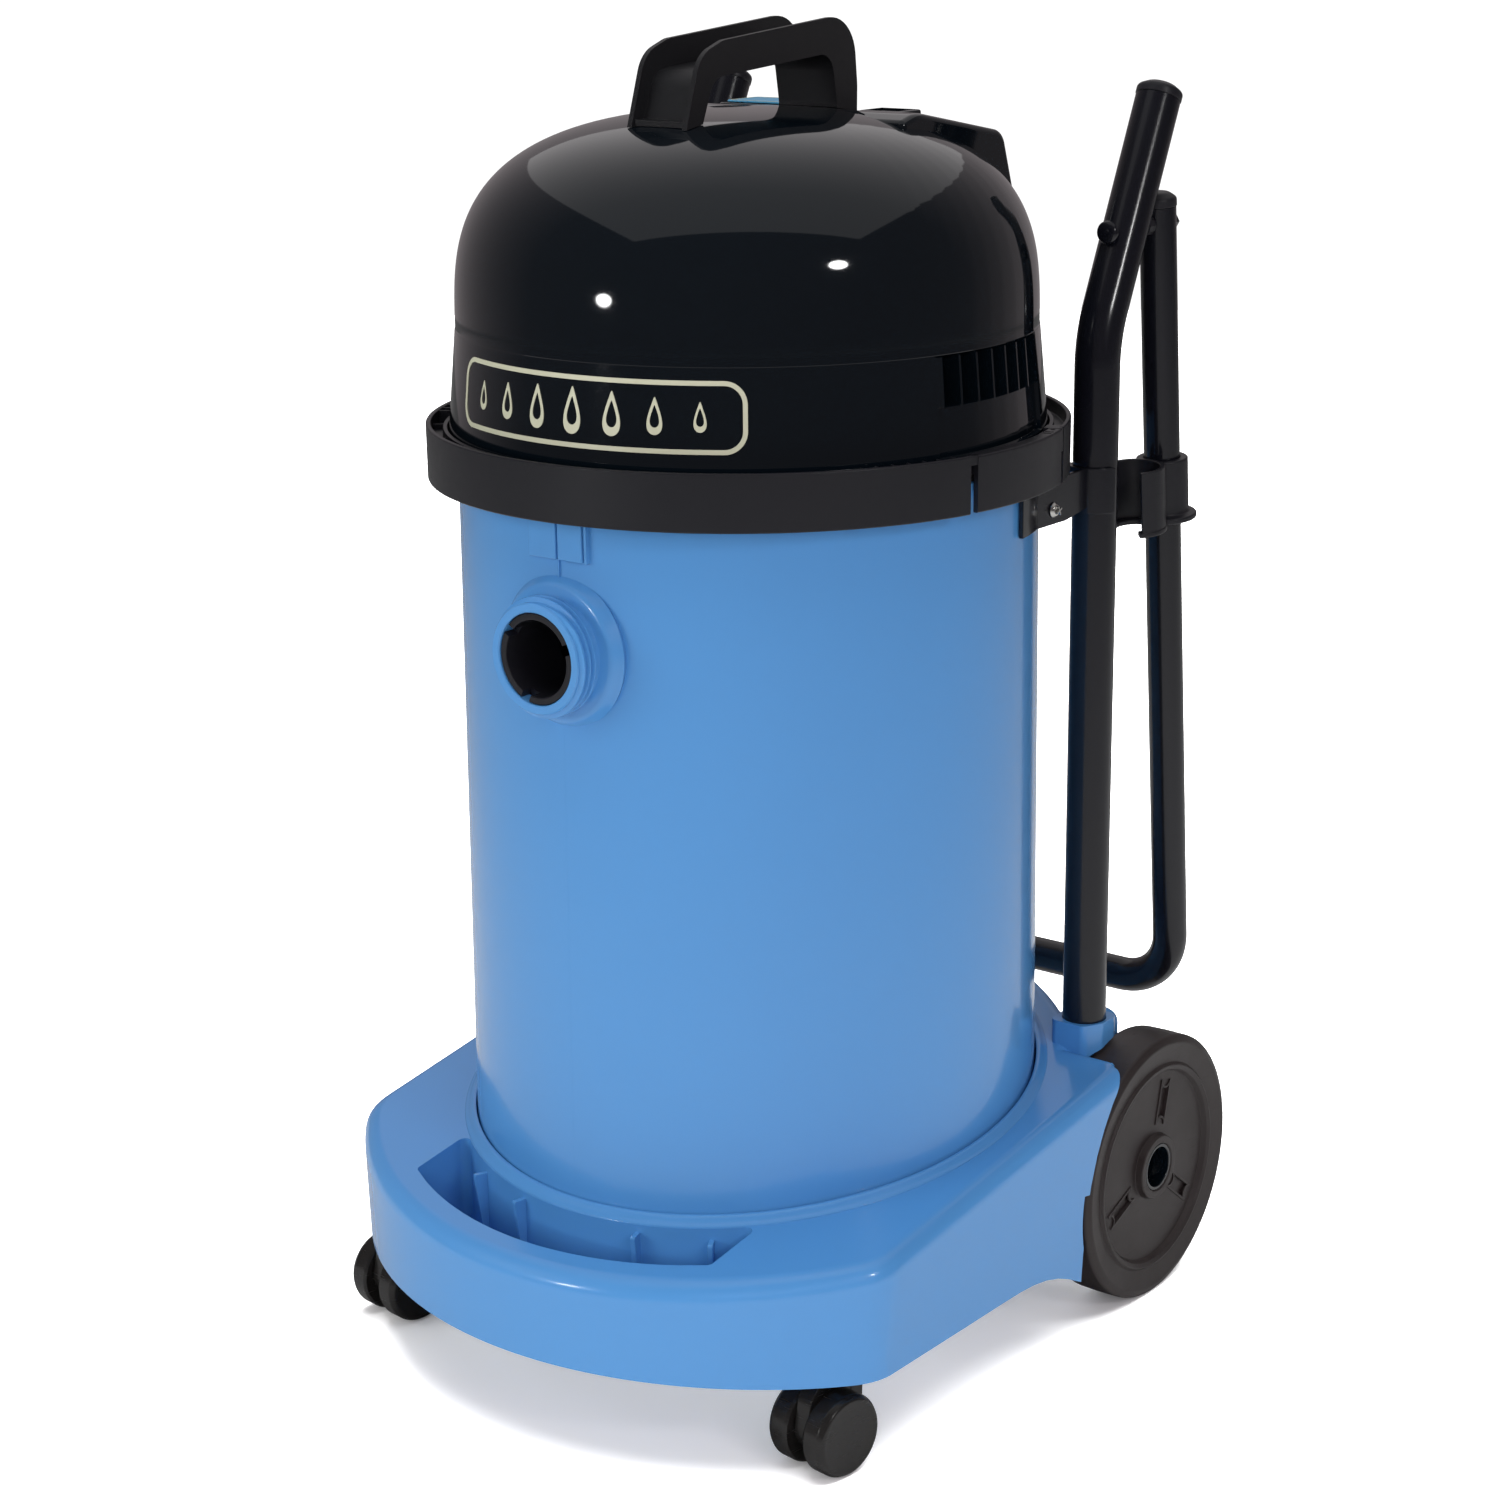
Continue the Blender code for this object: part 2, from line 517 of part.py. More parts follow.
def make_base():
    base = plate("trolley_base", base_outline(0), 0.0200, 0.2200, BLUE)
    above = [(y, deck(y)) for y in (-0.30, CURL_FROM, 0.080, 0.110, 0.140, 0.170, 0.200)]
    above += [(0.30, 0.25), (0.30, 0.50), (-0.30, 0.50)]
    cut(base, plate("above_deck", above, -0.30, 0.30, plane="YZ", is_cutter=True))
    edge = base.modifiers.new("edge", "BEVEL")
    edge.width = 0.010
    edge.segments = 3
    edge.limit_method = "ANGLE"
    edge.angle_limit = math.radians(40)
    below = [(-0.30, SKIRT_FOOT), (0.0, SKIRT_FOOT), (0.030, 0.0555), (0.052, 0.0465), (0.070, 0.0360),
             (0.084, 0.0340), (0.086, 0.0550), (0.30, 0.0550), (0.30, -0.10), (-0.30, -0.10)]
    cut(base, plate("below_skirt", below, -0.30, 0.30, plane="YZ", is_cutter=True))
    cut(base, box("between_skirts", (-0.1925, 0.020, -0.05), (0.1925, 0.30, 0.0580), is_cutter=True))

    pad = rounded([(0.1435, 0.1118, 0.006), (0.1690, 0.1118, 0.006), (0.1752, 0.1240, 0.006),
                   (0.1752, 0.1440, 0.008), (0.1435, 0.1440, 0.004)])
    for name, way in SIDE.items():
        sides = [(way * x, y) for x, y in pad]
        join(base, plate(f"tube_pad_{name}", sides, 0.1580, PAD_TOP, is_cutter=True))

    hollow = plate("base_hollow", base_outline(WALL_BASE), -0.05, 0.30, is_cutter=True)
    lowered = [(y, z - WALL_BASE) for y, z in above]
    cut(hollow, plate("under_deck", lowered, -0.30, 0.30, plane="YZ", is_cutter=True))
    cut(hollow, disc("cup_outside", CUP_R + WALL_BASE, CUP_FLOOR - WALL_BASE, 0.4, sides=SIDES,
                     is_cutter=True))
    outside_pocket = pocket_outline(-WALL_BASE)
    cut(hollow, plate("pocket_outside", outside_pocket, POCKET_FLOOR - 0.003, 0.4, is_cutter=True))
    for name, way in SIDE.items():
        stem_y = CASTOR_Y + CASTOR_TRAIL
        cut(hollow, disc(f"castor_boss_{name}", 0.0130, 0.0595, 0.3, at=(way * CASTOR_X, stem_y, 0),
                         sides=16, is_cutter=True))
        well = sorted((way * (WHEEL_X0 - 0.0082), way * 0.30))
        axle_at = (0, WHEEL_Y, WHEEL_R)
        cut(hollow, disc(f"arch_outside_{name}", WHEEL_R + 0.0075, *well, at=axle_at, axis="X", sides=32,
                         is_cutter=True))
        block = sorted((way * 0.134, way * 0.170))
        cut(hollow, box(f"axle_block_{name}", (block[0], 0.136, 0.066), (block[1], 0.172, 0.30),
                        is_cutter=True))
    cut(base, hollow)

    cut(base, disc("cup", CUP_R, CUP_FLOOR, 0.4, sides=SIDES, is_cutter=True))
    cut(base, plate("pocket", pocket_outline(0), POCKET_FLOOR, 0.4, is_cutter=True))
    for name, way in SIDE.items():
        axle_at = (0, WHEEL_Y, WHEEL_R)
        inner = sorted((way * (WHEEL_X0 - 0.0035), way * (FENDER_X - 0.0034)))
        outer = sorted((way * (FENDER_X - 0.0060), way * 0.25))
        cut(base, disc(f"arch_{name}", WHEEL_R + 0.0035, *inner, at=axle_at, axis="X", sides=32,
                       is_cutter=True))
        cut(base, plate(f"arch_edge_{name}", FENDER_EDGE, *outer, plane="YZ", is_cutter=True))
        at = (way * CASTOR_X, CASTOR_Y + CASTOR_TRAIL, 0)
        cut(base, disc(f"stem_hole_{name}", 0.0052, -0.02, 0.100, at=at, sides=14, is_cutter=True))
        at = (way * TUBE_X, TUBE_Y, 0)
        cut(base, disc(f"tube_hole_{name}", TUBE_R + GAP, TUBE_FOOT - GAP, 0.30, at=at, sides=24,
                       is_cutter=True))
    cut(base, disc("axle_hole", AXLE_R + GAP, -0.30, 0.30, at=(0, WHEEL_Y, WHEEL_R), axis="X", sides=14,
                   is_cutter=True))


def pocket_outline(inset):
    """Plan of the open tool pocket in the front deck."""
    r0, r1, half = POCKET_R0 + inset, POCKET_R1 - inset, 0.1125 - inset
    if inset < 0:
        r0 = CUP_R + 0.001
    outer = math.degrees(math.asin(half / r1))
    inner = math.degrees(math.asin(half / r0))
    return arc(r1, -outer, outer, 10) + arc(r0, inner, -inner, 10)


# ---------------------------------------------------------------- wheels and castors
def make_wheels():
    depth = WHEEL_X1 - WHEEL_X0
    face = depth / 2
    profile = [
        (0.0140, face - 0.001), (0.0200, face - 0.001), (0.0210, face - 0.005), (0.0600, face - 0.0055),
        (0.0655, face - 0.0015), (0.0690, face - 0.0030), (0.0800, face - 0.0010), (WHEEL_R, face - 0.006),
        (WHEEL_R, -face + 0.004), (0.0810, -face), (0.0140, -face), (AXLE_R + GAP, -face),
        (AXLE_R + GAP, -face + 0.014), (0.0140, -face + 0.014),
    ]
    for name, way in SIDE.items():
        wheel = turned(f"rear_wheel_{name}", profile, TYRE, at=(way * (WHEEL_X0 + face), WHEEL_Y, WHEEL_R),
                       axis="X", sides=32)
        if way < 0:
            wheel.rotation_euler = (0, -math.pi / 2, 0)
        clip_x = WHEEL_X0 + 0.0143
        ends = sorted((way * clip_x, way * (clip_x + 0.0022)))
        clip = ring_profile(AXLE_R + 0.0001, 0.0115, *ends)
        turned(f"axle_clip_{name}", clip, STEEL, at=(0, WHEEL_Y, WHEEL_R), axis="X", sides=16)
    reach = WHEEL_X0 + 0.0200
    disc("rear_axle", AXLE_R, -reach, reach, STEEL, at=(0, WHEEL_Y, WHEEL_R), axis="X", sides=14)


def make_castors():
    width, slack, cheek = 0.0150, 0.0006, 0.0054
    for name, way in SIDE.items():
        swivel = bpy.data.objects.new(f"castor_point_{name}", None)
        parts.objects.link(swivel)
        swivel.parent = base_point
        swivel.location = (way * CASTOR_X, CASTOR_Y + CASTOR_TRAIL, 0)
        swivel.rotation_euler = (0, 0, CASTOR_TURN)
        outline = rounded([(0.009, 0.0245, 0), (0.0115, 0.0545, 0.006), (-0.0300, 0.0545, 0.016),
                           (-0.0350, 0.0245, 0.004), (-0.0240, 0.0160, 0.006), (-0.0080, 0.0160, 0.004)])
        housing = plate(f"castor_housing_{name}", outline, -cheek, cheek, SATIN, plane="YZ")
        stem = disc(f"castor_stem_{name}", 0.0048, 0.0500, 0.0960, sides=14, is_cutter=True)
        collar = disc(f"castor_collar_{name}", 0.0095, 0.0500, 0.0575, sides=14, is_cutter=True)
        join(housing, collar, stem)
        axle_at = (0, -CASTOR_TRAIL, CASTOR_R)
        pin_hole = disc(f"castor_bore_{name}", 0.0027, -0.05, 0.05, at=axle_at, axis="X", sides=10,
                        is_cutter=True)
        cut(housing, pin_hole)
        axle = disc(f"castor_axle_{name}", 0.0024, -0.0170, 0.0170, STEEL, at=axle_at, axis="X", sides=10)
        family = [housing, stem, collar, pin_hole, axle]
        for place_name, start in (("inner", -way), ("outer", way)):
            low = cheek + slack
            profile = [(0.0027, low + 0.0125), (0.0200, low + width), (0.0225, low + width - 0.001),
                       (CASTOR_R, low + width - 0.0045), (CASTOR_R, low + 0.002), (0.0235, low),
                       (0.0027, low)]
            wheel = turned(f"castor_wheel_{name}_{place_name}", profile, TYRE, at=axle_at, axis="X",
                           sides=20)
            if start < 0:
                wheel.rotation_euler = (0, -math.pi / 2, 0)
            family.append(wheel)
        for item in family:
            item.parent = swivel


# ---------------------------------------------------------------- push tubes, support hoop and fittings
def tube_path():
    """The right push tube's centreline: up from its socket, then leaning back to the grip end."""
    bend = 0.080
    reach = bend * math.tan(TUBE_LEAN / 2)
    centre_y = TUBE_Y + bend
    centre_z = TUBE_KNEE - reach
    points = [(TUBE_X, TUBE_Y, TUBE_FOOT)]
    for i in range(5):
        turn = TUBE_LEAN * i / 4
        points.append((TUBE_X, centre_y - bend * math.cos(turn), centre_z + bend * math.sin(turn)))
    knee_to_top = TUBE_TOP - TUBE_KNEE
    points.append((TUBE_X, TUBE_Y + knee_to_top * math.tan(TUBE_LEAN), TUBE_TOP))
    return points


def hoop_path():
    """The support hoop: two legs leaning back and down, joined by a bar behind the wheels."""
    (top_y, top_z), (foot_y, foot_z) = HOOP_TOP, HOOP_BAR
    corner = 0.034
    leg = Vector((0, foot_y - top_y, foot_z - top_z)).normalized()
    foot = Vector((TUBE_X, foot_y, foot_z))
    across = Vector((-1, 0, 0))
    centre = foot - leg * corner + across * corner
    points = [Vector((TUBE_X, top_y, top_z))]
    for i in range(5):
        turn = math.pi / 2 * i / 4
        points.append(centre - across * corner * math.cos(turn) + leg * corner * math.sin(turn))
    return [tuple(p) for p in points] + [(-p.x, p.y, p.z) for p in reversed(points)]


def extended(points, by):
    """The same path with both its ends pushed out by a length."""
    first, second = Vector(points[0]), Vector(points[1])
    last, before = Vector(points[-1]), Vector(points[-2])
    start = first + (first - second).normalized() * by
    end = last + (last - before).normalized() * by
    return [tuple(start)] + points[1:-1] + [tuple(end)]


def cap(name, centre, direction, radius, plug):
    """A domed plastic end cap, closing a tube end at centre, its plug reaching down the bore."""
    profile = [(0, 0.0090), (radius * 0.55, 0.0080), (radius, 0.0035), (radius, GAP),
               (radius - 0.0040, GAP), (radius - 0.0040, -plug), (0, -plug)]
    item = turned(name, profile, SATIN, at=centre, sides=16, closed=False)
    item.rotation_euler = Vector(direction).to_track_quat("Z", "Y").to_euler()
    return item


def make_tubes():
    right = tube_path()
    hoop = hoop_path()
    bolt_tube_y = TUBE_Y + (BOLT_Z - TUBE_KNEE) * math.tan(TUBE_LEAN)
    share = (HOOP_TOP[1] - BOLT_Z) / (HOOP_TOP[1] - HOOP_BAR[1])
    bolt_hoop_y = HOOP_TOP[0] + (HOOP_BAR[0] - HOOP_TOP[0]) * share
    bar = rod("support_hoop", hoop, HOOP_R, PAINT)
    cut(bar, rod("hoop_bore", extended(hoop, 0.01), HOOP_R - TUBE_WALL, is_cutter=True))
    for name, way in SIDE.items():
        path = right if way > 0 else mirrored(right)
        tube = rod(f"push_tube_{name}", path, TUBE_R, PAINT)
        cut(tube, rod(f"tube_bore_{name}", extended(path, 0.01), TUBE_R - TUBE_WALL, is_cutter=True))
        tube_end = (0, math.sin(TUBE_LEAN), math.cos(TUBE_LEAN))
        cap(f"tube_cap_{name}", path[-1], tube_end, TUBE_R + 0.0003, 0.012)
        leg_end = Vector(hoop[0] if way > 0 else hoop[-1])
        toward = Vector((0, HOOP_TOP[0] - HOOP_BAR[0], HOOP_TOP[1] - HOOP_BAR[1]))
        cap(f"hoop_cap_{name}", leg_end, toward, HOOP_R, 0.006)
        at = (way * TUBE_X, 0, BOLT_Z)
        hole = disc(f"bolt_hole_{name}", 0.0033, 0.10, 0.25, at=at, axis="Y", sides=11, is_cutter=True)
        cut(tube, hole)
        cut(bar, hole)
        front = bolt_tube_y - TUBE_R / math.cos(TUBE_LEAN) - 0.0036
        bolt = [(0, bolt_hoop_y + 0.0150), (0.0030, bolt_hoop_y + 0.0150), (0.0030, front), (0.0068, front),
                (0.0068, front - 0.0030), (0.0040, front - 0.0045), (0, front - 0.0045)]
        turned(f"hoop_bolt_{name}", bolt, STEEL, at=at, axis="Y", sides=12, closed=False)
        gap_low = bolt_tube_y + TUBE_R / math.cos(TUBE_LEAN) + 0.0042
        spacer = ring_profile(0.0034, 0.0060, gap_low, bolt_hoop_y - HOOP_R - 0.0009)
        turned(f"hoop_spacer_{name}", spacer, SATIN, at=at, axis="Y", sides=12)


def make_brackets():
    low, high = 0.5050, 0.5325
    for name, way in SIDE.items():
        x0, x1 = sorted((way * 0.1605, way * 0.1635))
        bracket = box(f"tube_bracket_{name}", (x0, 0.0590, low), (x1, 0.1130, high), PAINT)
        foot = sector(TANK_TOP_R + 0.0010, TANK_TOP_R + 0.0036, 101.0, 110.6, 3)
        foot = [(way * x, y) for x, y in foot]
        saddle = arc(TUBE_R + 0.0027, -80, 80, 8, (way * TUBE_X, TUBE_Y)) + arc(
            TUBE_R + GAP, 80, -80, 8, (way * TUBE_X, TUBE_Y))
        join(bracket, plate(f"bracket_foot_{name}", foot, low, high, is_cutter=True),
             plate(f"bracket_saddle_{name}", saddle, low, high, is_cutter=True))
        at = (0, 0.0760, 0.5140)
        hole = sorted((way * 0.150, way * 0.180))
        cut(bracket, disc(f"bracket_hole_{name}", 0.0022, *hole, at=at, axis="X", sides=10, is_cutter=True))
        seat = 0.1635 + GAP
        profile = [(0, seat + 0.0024), (0.0030, seat + 0.0024), (0.0046, seat + 0.0010), (0.0046, seat),
                   (0.0019, seat), (0.0019, 0.1560), (0, 0.1560)]
        screw = turned(f"bracket_screw_{name}", profile, STEEL, at=at, axis="X", sides=12, closed=False)
        if way < 0:
            screw.rotation_euler = (0, -math.pi / 2, 0)


def make_wand_clip():
    """A collar on the right leg of the hoop with an open C hook beside it, for a parked wand."""
    lean = math.atan2(HOOP_BAR[0] - HOOP_TOP[0], HOOP_TOP[1] - HOOP_BAR[1])
    middle_z = 0.506
    share = (HOOP_TOP[1] - middle_z) / (HOOP_TOP[1] - HOOP_BAR[1])
    leg_y = HOOP_TOP[0] + (HOOP_BAR[0] - HOOP_TOP[0]) * share
    half = 0.0190
    clip = turned("wand_clip", ring_profile(HOOP_R + GAP, 0.0158, -half, half), SATIN, sides=20)
    rim = turned("clip_rim", ring_profile(HOOP_R + GAP, 0.0200, -half, -half + 0.003), sides=20,
                 is_cutter=True)
    hook_at = (0, -0.0335)
    hook_line = arc(0.0190, 45, 315, 14, hook_at) + arc(0.0160, 315, 45, 14, hook_at)
    hook = plate("clip_hook", hook_line, -half, half, is_cutter=True)
    floor_line = arc(0.0170, 40, 320, 10, hook_at) + arc(0.0120, 320, 40, 10, hook_at)
    floor = plate("clip_floor", floor_line, -half, 0.003 - half, is_cutter=True)
    join(clip, rim, hook, floor)
    for item in (clip, rim, hook, floor):
        item.location = (TUBE_X, leg_y, middle_z)
        item.rotation_euler = (lean, 0, 0)


make_tank()
make_ring()
dome_cover = make_dome()
carry_handle = make_handle()
make_handle_screws(dome_cover, carry_handle)
make_switch_and_socket(dome_cover)
make_motor()
make_float()
make_base()
make_wheels()
make_castors()
make_tubes()
make_brackets()
make_wand_clip()
bpy.context.view_layer.update()
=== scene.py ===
"""Looks of the wet pick-up drum vacuum on its trolley.

Shapes are laid out in metres about the drum's axis and the floor, front towards -Y, and moved by SHIFT into
the frame's coordinates when they become pieces.
"""
import math

import bmesh
import bpy
from mathutils import Matrix, Vector


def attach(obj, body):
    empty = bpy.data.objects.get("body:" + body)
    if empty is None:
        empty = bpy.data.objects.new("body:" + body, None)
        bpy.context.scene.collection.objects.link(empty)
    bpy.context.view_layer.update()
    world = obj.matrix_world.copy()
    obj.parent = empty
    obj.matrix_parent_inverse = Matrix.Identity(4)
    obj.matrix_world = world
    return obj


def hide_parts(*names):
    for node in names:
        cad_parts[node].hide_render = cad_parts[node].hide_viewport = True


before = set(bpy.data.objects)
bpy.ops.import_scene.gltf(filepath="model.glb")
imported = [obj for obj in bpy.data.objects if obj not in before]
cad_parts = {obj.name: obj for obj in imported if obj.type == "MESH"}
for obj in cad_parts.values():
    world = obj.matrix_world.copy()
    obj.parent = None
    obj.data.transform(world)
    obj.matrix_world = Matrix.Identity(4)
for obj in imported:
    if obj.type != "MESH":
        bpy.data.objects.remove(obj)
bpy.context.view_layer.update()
scene = bpy.context.scene
SHIFT = Vector((0, -0.0028, 0))
SIDE = {"right": 1, "left": -1}


# ---------------------------------------------------------------- materials
def add_node(tree, kind, operation=None, **values):
    """A new shader node with some of its inputs set, "_" in their names standing for a space."""
    item = tree.nodes.new("ShaderNode" + kind)
    if operation:
        item.operation = operation
    for key, value in values.items():
        item.inputs[key.replace("_", " ")].default_value = value
    return item


def wire(tree, *links):
    for source, output, target, into in links:
        tree.links.new(source.outputs[output], target.inputs[into])


def surface(name, colour, rough, metallic=0.0, spread=0.05, cloud=5.0, grain=900.0, bump=0.03,
            coat=0.0, wear=0.0, dust=0.0, ripple=0.0):
    """A shader with colour drift, uneven gloss and fine grain, and optional scratches, dust and waviness."""
    made = bpy.data.materials.new(name)
    made.use_nodes = True
    tree = made.node_tree
    shader = tree.nodes["Principled BSDF"]
    spot = add_node(tree, "TexCoord")
    drift = add_node(tree, "TexNoise", Scale=cloud, Detail=3.0, Roughness=0.55)
    tint = add_node(tree, "Mix")
    tint.data_type = "RGBA"
    tint.inputs[6].default_value = (*[c * (1 - spread) for c in colour], 1)
    tint.inputs[7].default_value = (*[min(c * (1 + spread), 1) for c in colour], 1)
    patches = add_node(tree, "TexNoise", Scale=38.0, Detail=6.0, Roughness=0.6)
    gloss = add_node(tree, "MapRange", To_Min=rough * 0.82, To_Max=min(rough * 1.22, 1))
    wire(tree, (spot, "Object", drift, "Vector"), (drift, "Fac", tint, 0),
         (spot, "Object", patches, "Vector"), (patches, "Fac", gloss, "Value"))
    last, shine = tint, gloss
    if wear:
        stretch = add_node(tree, "Mapping", Scale=(9.0, 9.0, 240.0), Rotation=(0.4, 0.9, 0.2))
        lines = add_node(tree, "TexNoise", Scale=7.0, Detail=2.0)
        pick = add_node(tree, "MapRange", From_Min=0.66, From_Max=0.72, To_Max=wear)
        shine = add_node(tree, "Math", "ADD")
        shine.use_clamp = True
        wire(tree, (spot, "Object", stretch, "Vector"), (stretch, "Vector", lines, "Vector"),
             (lines, "Fac", pick, "Value"), (gloss, 0, shine, 0), (pick, 0, shine, 1))
    if dust:
        facing = add_node(tree, "NewGeometry")
        split = add_node(tree, "SeparateXYZ")
        up = add_node(tree, "MapRange", From_Min=0.5, To_Max=dust)
        flecks = add_node(tree, "Math", "MULTIPLY")
        pale = add_node(tree, "Mix")
        pale.data_type = "RGBA"
        pale.inputs[7].default_value = (0.42, 0.40, 0.38, 1)
        wire(tree, (facing, "Normal", split, "Vector"), (split, "Z", up, "Value"), (up, 0, flecks, 0),
             (patches, 0, flecks, 1), (flecks, 0, pale, 0), (last, 2, pale, 6))
        last = pale
    fine = add_node(tree, "TexNoise", Scale=grain, Detail=2.0, Roughness=0.5)
    relief = add_node(tree, "Bump", Strength=bump, Distance=0.0004)
    wire(tree, (last, 2, shader, "Base Color"), (shine, 0, shader, "Roughness"),
         (spot, "Object", fine, "Vector"), (fine, "Fac", relief, "Height"))
    if ripple:
        waves = add_node(tree, "TexNoise", Scale=26.0, Detail=1.0)
        slow = add_node(tree, "Bump", Strength=ripple, Distance=0.002)
        wire(tree, (spot, "Object", waves, "Vector"), (waves, "Fac", slow, "Height"),
             (relief, 0, slow, "Normal"))
        relief = slow
    wire(tree, (relief, 0, shader, "Normal"))
    shader.inputs["Metallic"].default_value = metallic
    shader.inputs["Coat Weight"].default_value = coat
    shader.inputs["Coat Roughness"].default_value = 0.04
    return made


BLUE = surface("blue_plastic", (0.085, 0.296, 0.640), 0.20, spread=0.035, cloud=3.0, grain=1400, bump=0.012,
               coat=0.35, wear=0.05, ripple=0.015)
GLOSS = surface("gloss_black_plastic", (0.0022, 0.0045, 0.0070), 0.055, spread=0.2, grain=1500, bump=0.006,
                coat=0.4, wear=0.05, ripple=0.008)
SATIN = surface("satin_black_plastic", (0.0095, 0.0098, 0.0130), 0.38, spread=0.12, grain=2200,
                bump=0.10, wear=0.08)
GRIP = surface("grained_black_plastic", (0.010, 0.0105, 0.012), 0.42, spread=0.15, grain=3200, bump=0.35)
PAINT = surface("black_powder_coat", (0.0045, 0.0050, 0.0080), 0.20, spread=0.2, grain=700, bump=0.05,
                coat=0.2)
WHEEL = surface("wheel_plastic", (0.0225, 0.0170, 0.0166), 0.46, spread=0.12, cloud=14, grain=1800, bump=0.22,
                dust=0.10, wear=0.12)
CASTOR = surface("castor_plastic", (0.0130, 0.0122, 0.0116), 0.24, spread=0.12, grain=1600, bump=0.08,
                 wear=0.08)
ZINC = surface("bright_zinc", (0.70, 0.69, 0.66), 0.24, metallic=1.0, spread=0.08, cloud=60, grain=2500,
               bump=0.12)
RUBBER = surface("soft_rubber", (0.014, 0.014, 0.014), 0.75, spread=0.2, grain=1300, bump=0.3)
ALLOY = surface("cast_alloy", (0.50, 0.51, 0.53), 0.42, metallic=1.0, spread=0.1, cloud=30, grain=1500,
                bump=0.3)
FOAM = surface("open_foam", (0.03, 0.03, 0.034), 0.95, spread=0.5, cloud=220, grain=420, bump=1.0)
FLOAT = surface("float_plastic", (0.72, 0.70, 0.65), 0.35, spread=0.05, grain=1200, bump=0.05)
PRINT = surface("printed_film", (0.07, 0.36, 0.62), 0.30, spread=0.04, grain=1600, bump=0.04)
CREAM = surface("cream_print", (0.56, 0.57, 0.42), 0.34, spread=0.04, cloud=40, grain=1700, bump=0.05)


# ---------------------------------------------------------------- shape helpers
def arc(radius, start, end, steps, centre=(0, 0)):
    """Points on a circle; angles in degrees round from the front (-Y), towards +X."""
    turns = [math.radians(start + (end - start) * i / steps) for i in range(steps + 1)]
    return [(centre[0] + radius * math.sin(a), centre[1] - radius * math.cos(a)) for a in turns]


def rounded(corners, steps=6):
    """The outline through (u, v, radius) corners, each turned with an arc of that radius."""
    made = []
    count = len(corners)
    for i, (u, v, radius) in enumerate(corners):
        here = Vector((u, v))
        before = Vector(corners[i - 1][:2]) - here
        after = Vector(corners[(i + 1) % count][:2]) - here
        if radius == 0:
            made.append((u, v))
            continue
        half = before.angle(after) / 2
        reach = radius / math.tan(half)
        middle = here + (before.normalized() + after.normalized()).normalized() * radius / math.sin(half)
        start = here + before.normalized() * reach - middle
        swing = start.angle_signed(here + after.normalized() * reach - middle)
        for k in range(steps + 1):
            made.append(tuple(middle + Matrix.Rotation(-swing * k / steps, 2) @ start))
    return made


def sector(r0, r1, start, end, steps):
    return arc(r1, start, end, steps) + arc(r0, end, start, steps)


def with_corners(line, radius, clear):
    """A line of points whose two end corners get a radius, with no other point near them."""
    ends = [Vector(line[0]), Vector(line[-1])]
    kept = [(x, y, 0) for x, y in line if all((Vector((x, y)) - end).length > clear for end in ends)]
    return [(*line[0], radius)] + kept + [(*line[-1], radius)]


AXES = {
    "Z": Matrix.Identity(4),
    "Y": Matrix.Rotation(-math.pi / 2, 4, "X"),
    "X": Matrix.Rotation(math.pi / 2, 4, "Y"),
}


def new_object(name, bm, matrix=None):
    bmesh.ops.remove_doubles(bm, verts=bm.verts, dist=0.000002)
    bmesh.ops.recalc_face_normals(bm, faces=bm.faces)
    mesh = bpy.data.meshes.new(name)
    bm.to_mesh(mesh)
    bm.free()
    if matrix:
        mesh.transform(matrix)
    item = bpy.data.objects.new(name, mesh)
    scene.collection.objects.link(item)
    return item


def grid(rows, wrap_rows=False, wrap_columns=False, caps=False):
    bm = bmesh.new()
    made = [[bm.verts.new(point) for point in row] for row in rows]
    count, width = len(rows), len(rows[0])
    for i in range(count if wrap_rows else count - 1):
        first, second = made[i], made[(i + 1) % count]
        for j in range(width if wrap_columns else width - 1):
            k = (j + 1) % width
            bm.faces.new((first[j], first[k], second[k], second[j]))
    if caps:
        bm.faces.new(made[0])
        bm.faces.new(made[-1])
    return bm


def lathe(name, profile, steps=160, axis="Z", at=(0, 0, 0), closed=True, part=None):
    """A profile of (radius, height) turned about an axis through at, all the way or over part of a turn."""
    low, high = part or (0, 360)
    count = steps if part is None else steps + 1
    turns = [math.radians(low + (high - low) * i / steps) for i in range(count)]
    rows = [[(r * math.sin(a), -r * math.cos(a), h) for r, h in profile] for a in turns]
    bm = grid(rows, wrap_rows=part is None, wrap_columns=closed, caps=part is not None)
    return new_object(name, bm, Matrix.Translation(at) @ AXES[axis])


def rounded_box(x0, y0, x1, y1, radius):
    return rounded([(x0, y0, radius), (x1, y0, radius), (x1, y1, radius), (x0, y1, radius)], 5)


def turned(item, degrees, axis="Z"):
    item.data.transform(Matrix.Rotation(math.radians(degrees), 4, axis))
    return item


def disc(name, radius, low, high, steps=40, axis="Z", at=(0, 0, 0)):
    """A solid cylinder along an axis."""
    return lathe(name, [(0, high), (radius, high), (radius, low), (0, low)], steps, axis, at, closed=False)


PLANES = {
    "XY": lambda u, v, w: (u, v, w),
    "YZ": lambda u, v, w: (w, u, v),
    "XZ": lambda u, v, w: (u, w, v),
}


def prism(name, outline, low, high, plane="XY", bevel=0.0, segments=3, angle=50):
    bm = bmesh.new()
    ends = [[bm.verts.new(PLANES[plane](u, v, w)) for u, v in outline] for w in (low, high)]
    bm.faces.new(ends[0])
    bm.faces.new(ends[1])
    for i in range(len(outline)):
        k = (i + 1) % len(outline)
        bm.faces.new((ends[0][i], ends[0][k], ends[1][k], ends[1][i]))
    item = new_object(name, bm)
    if bevel:
        soften(item, bevel, segments, angle)
    return item


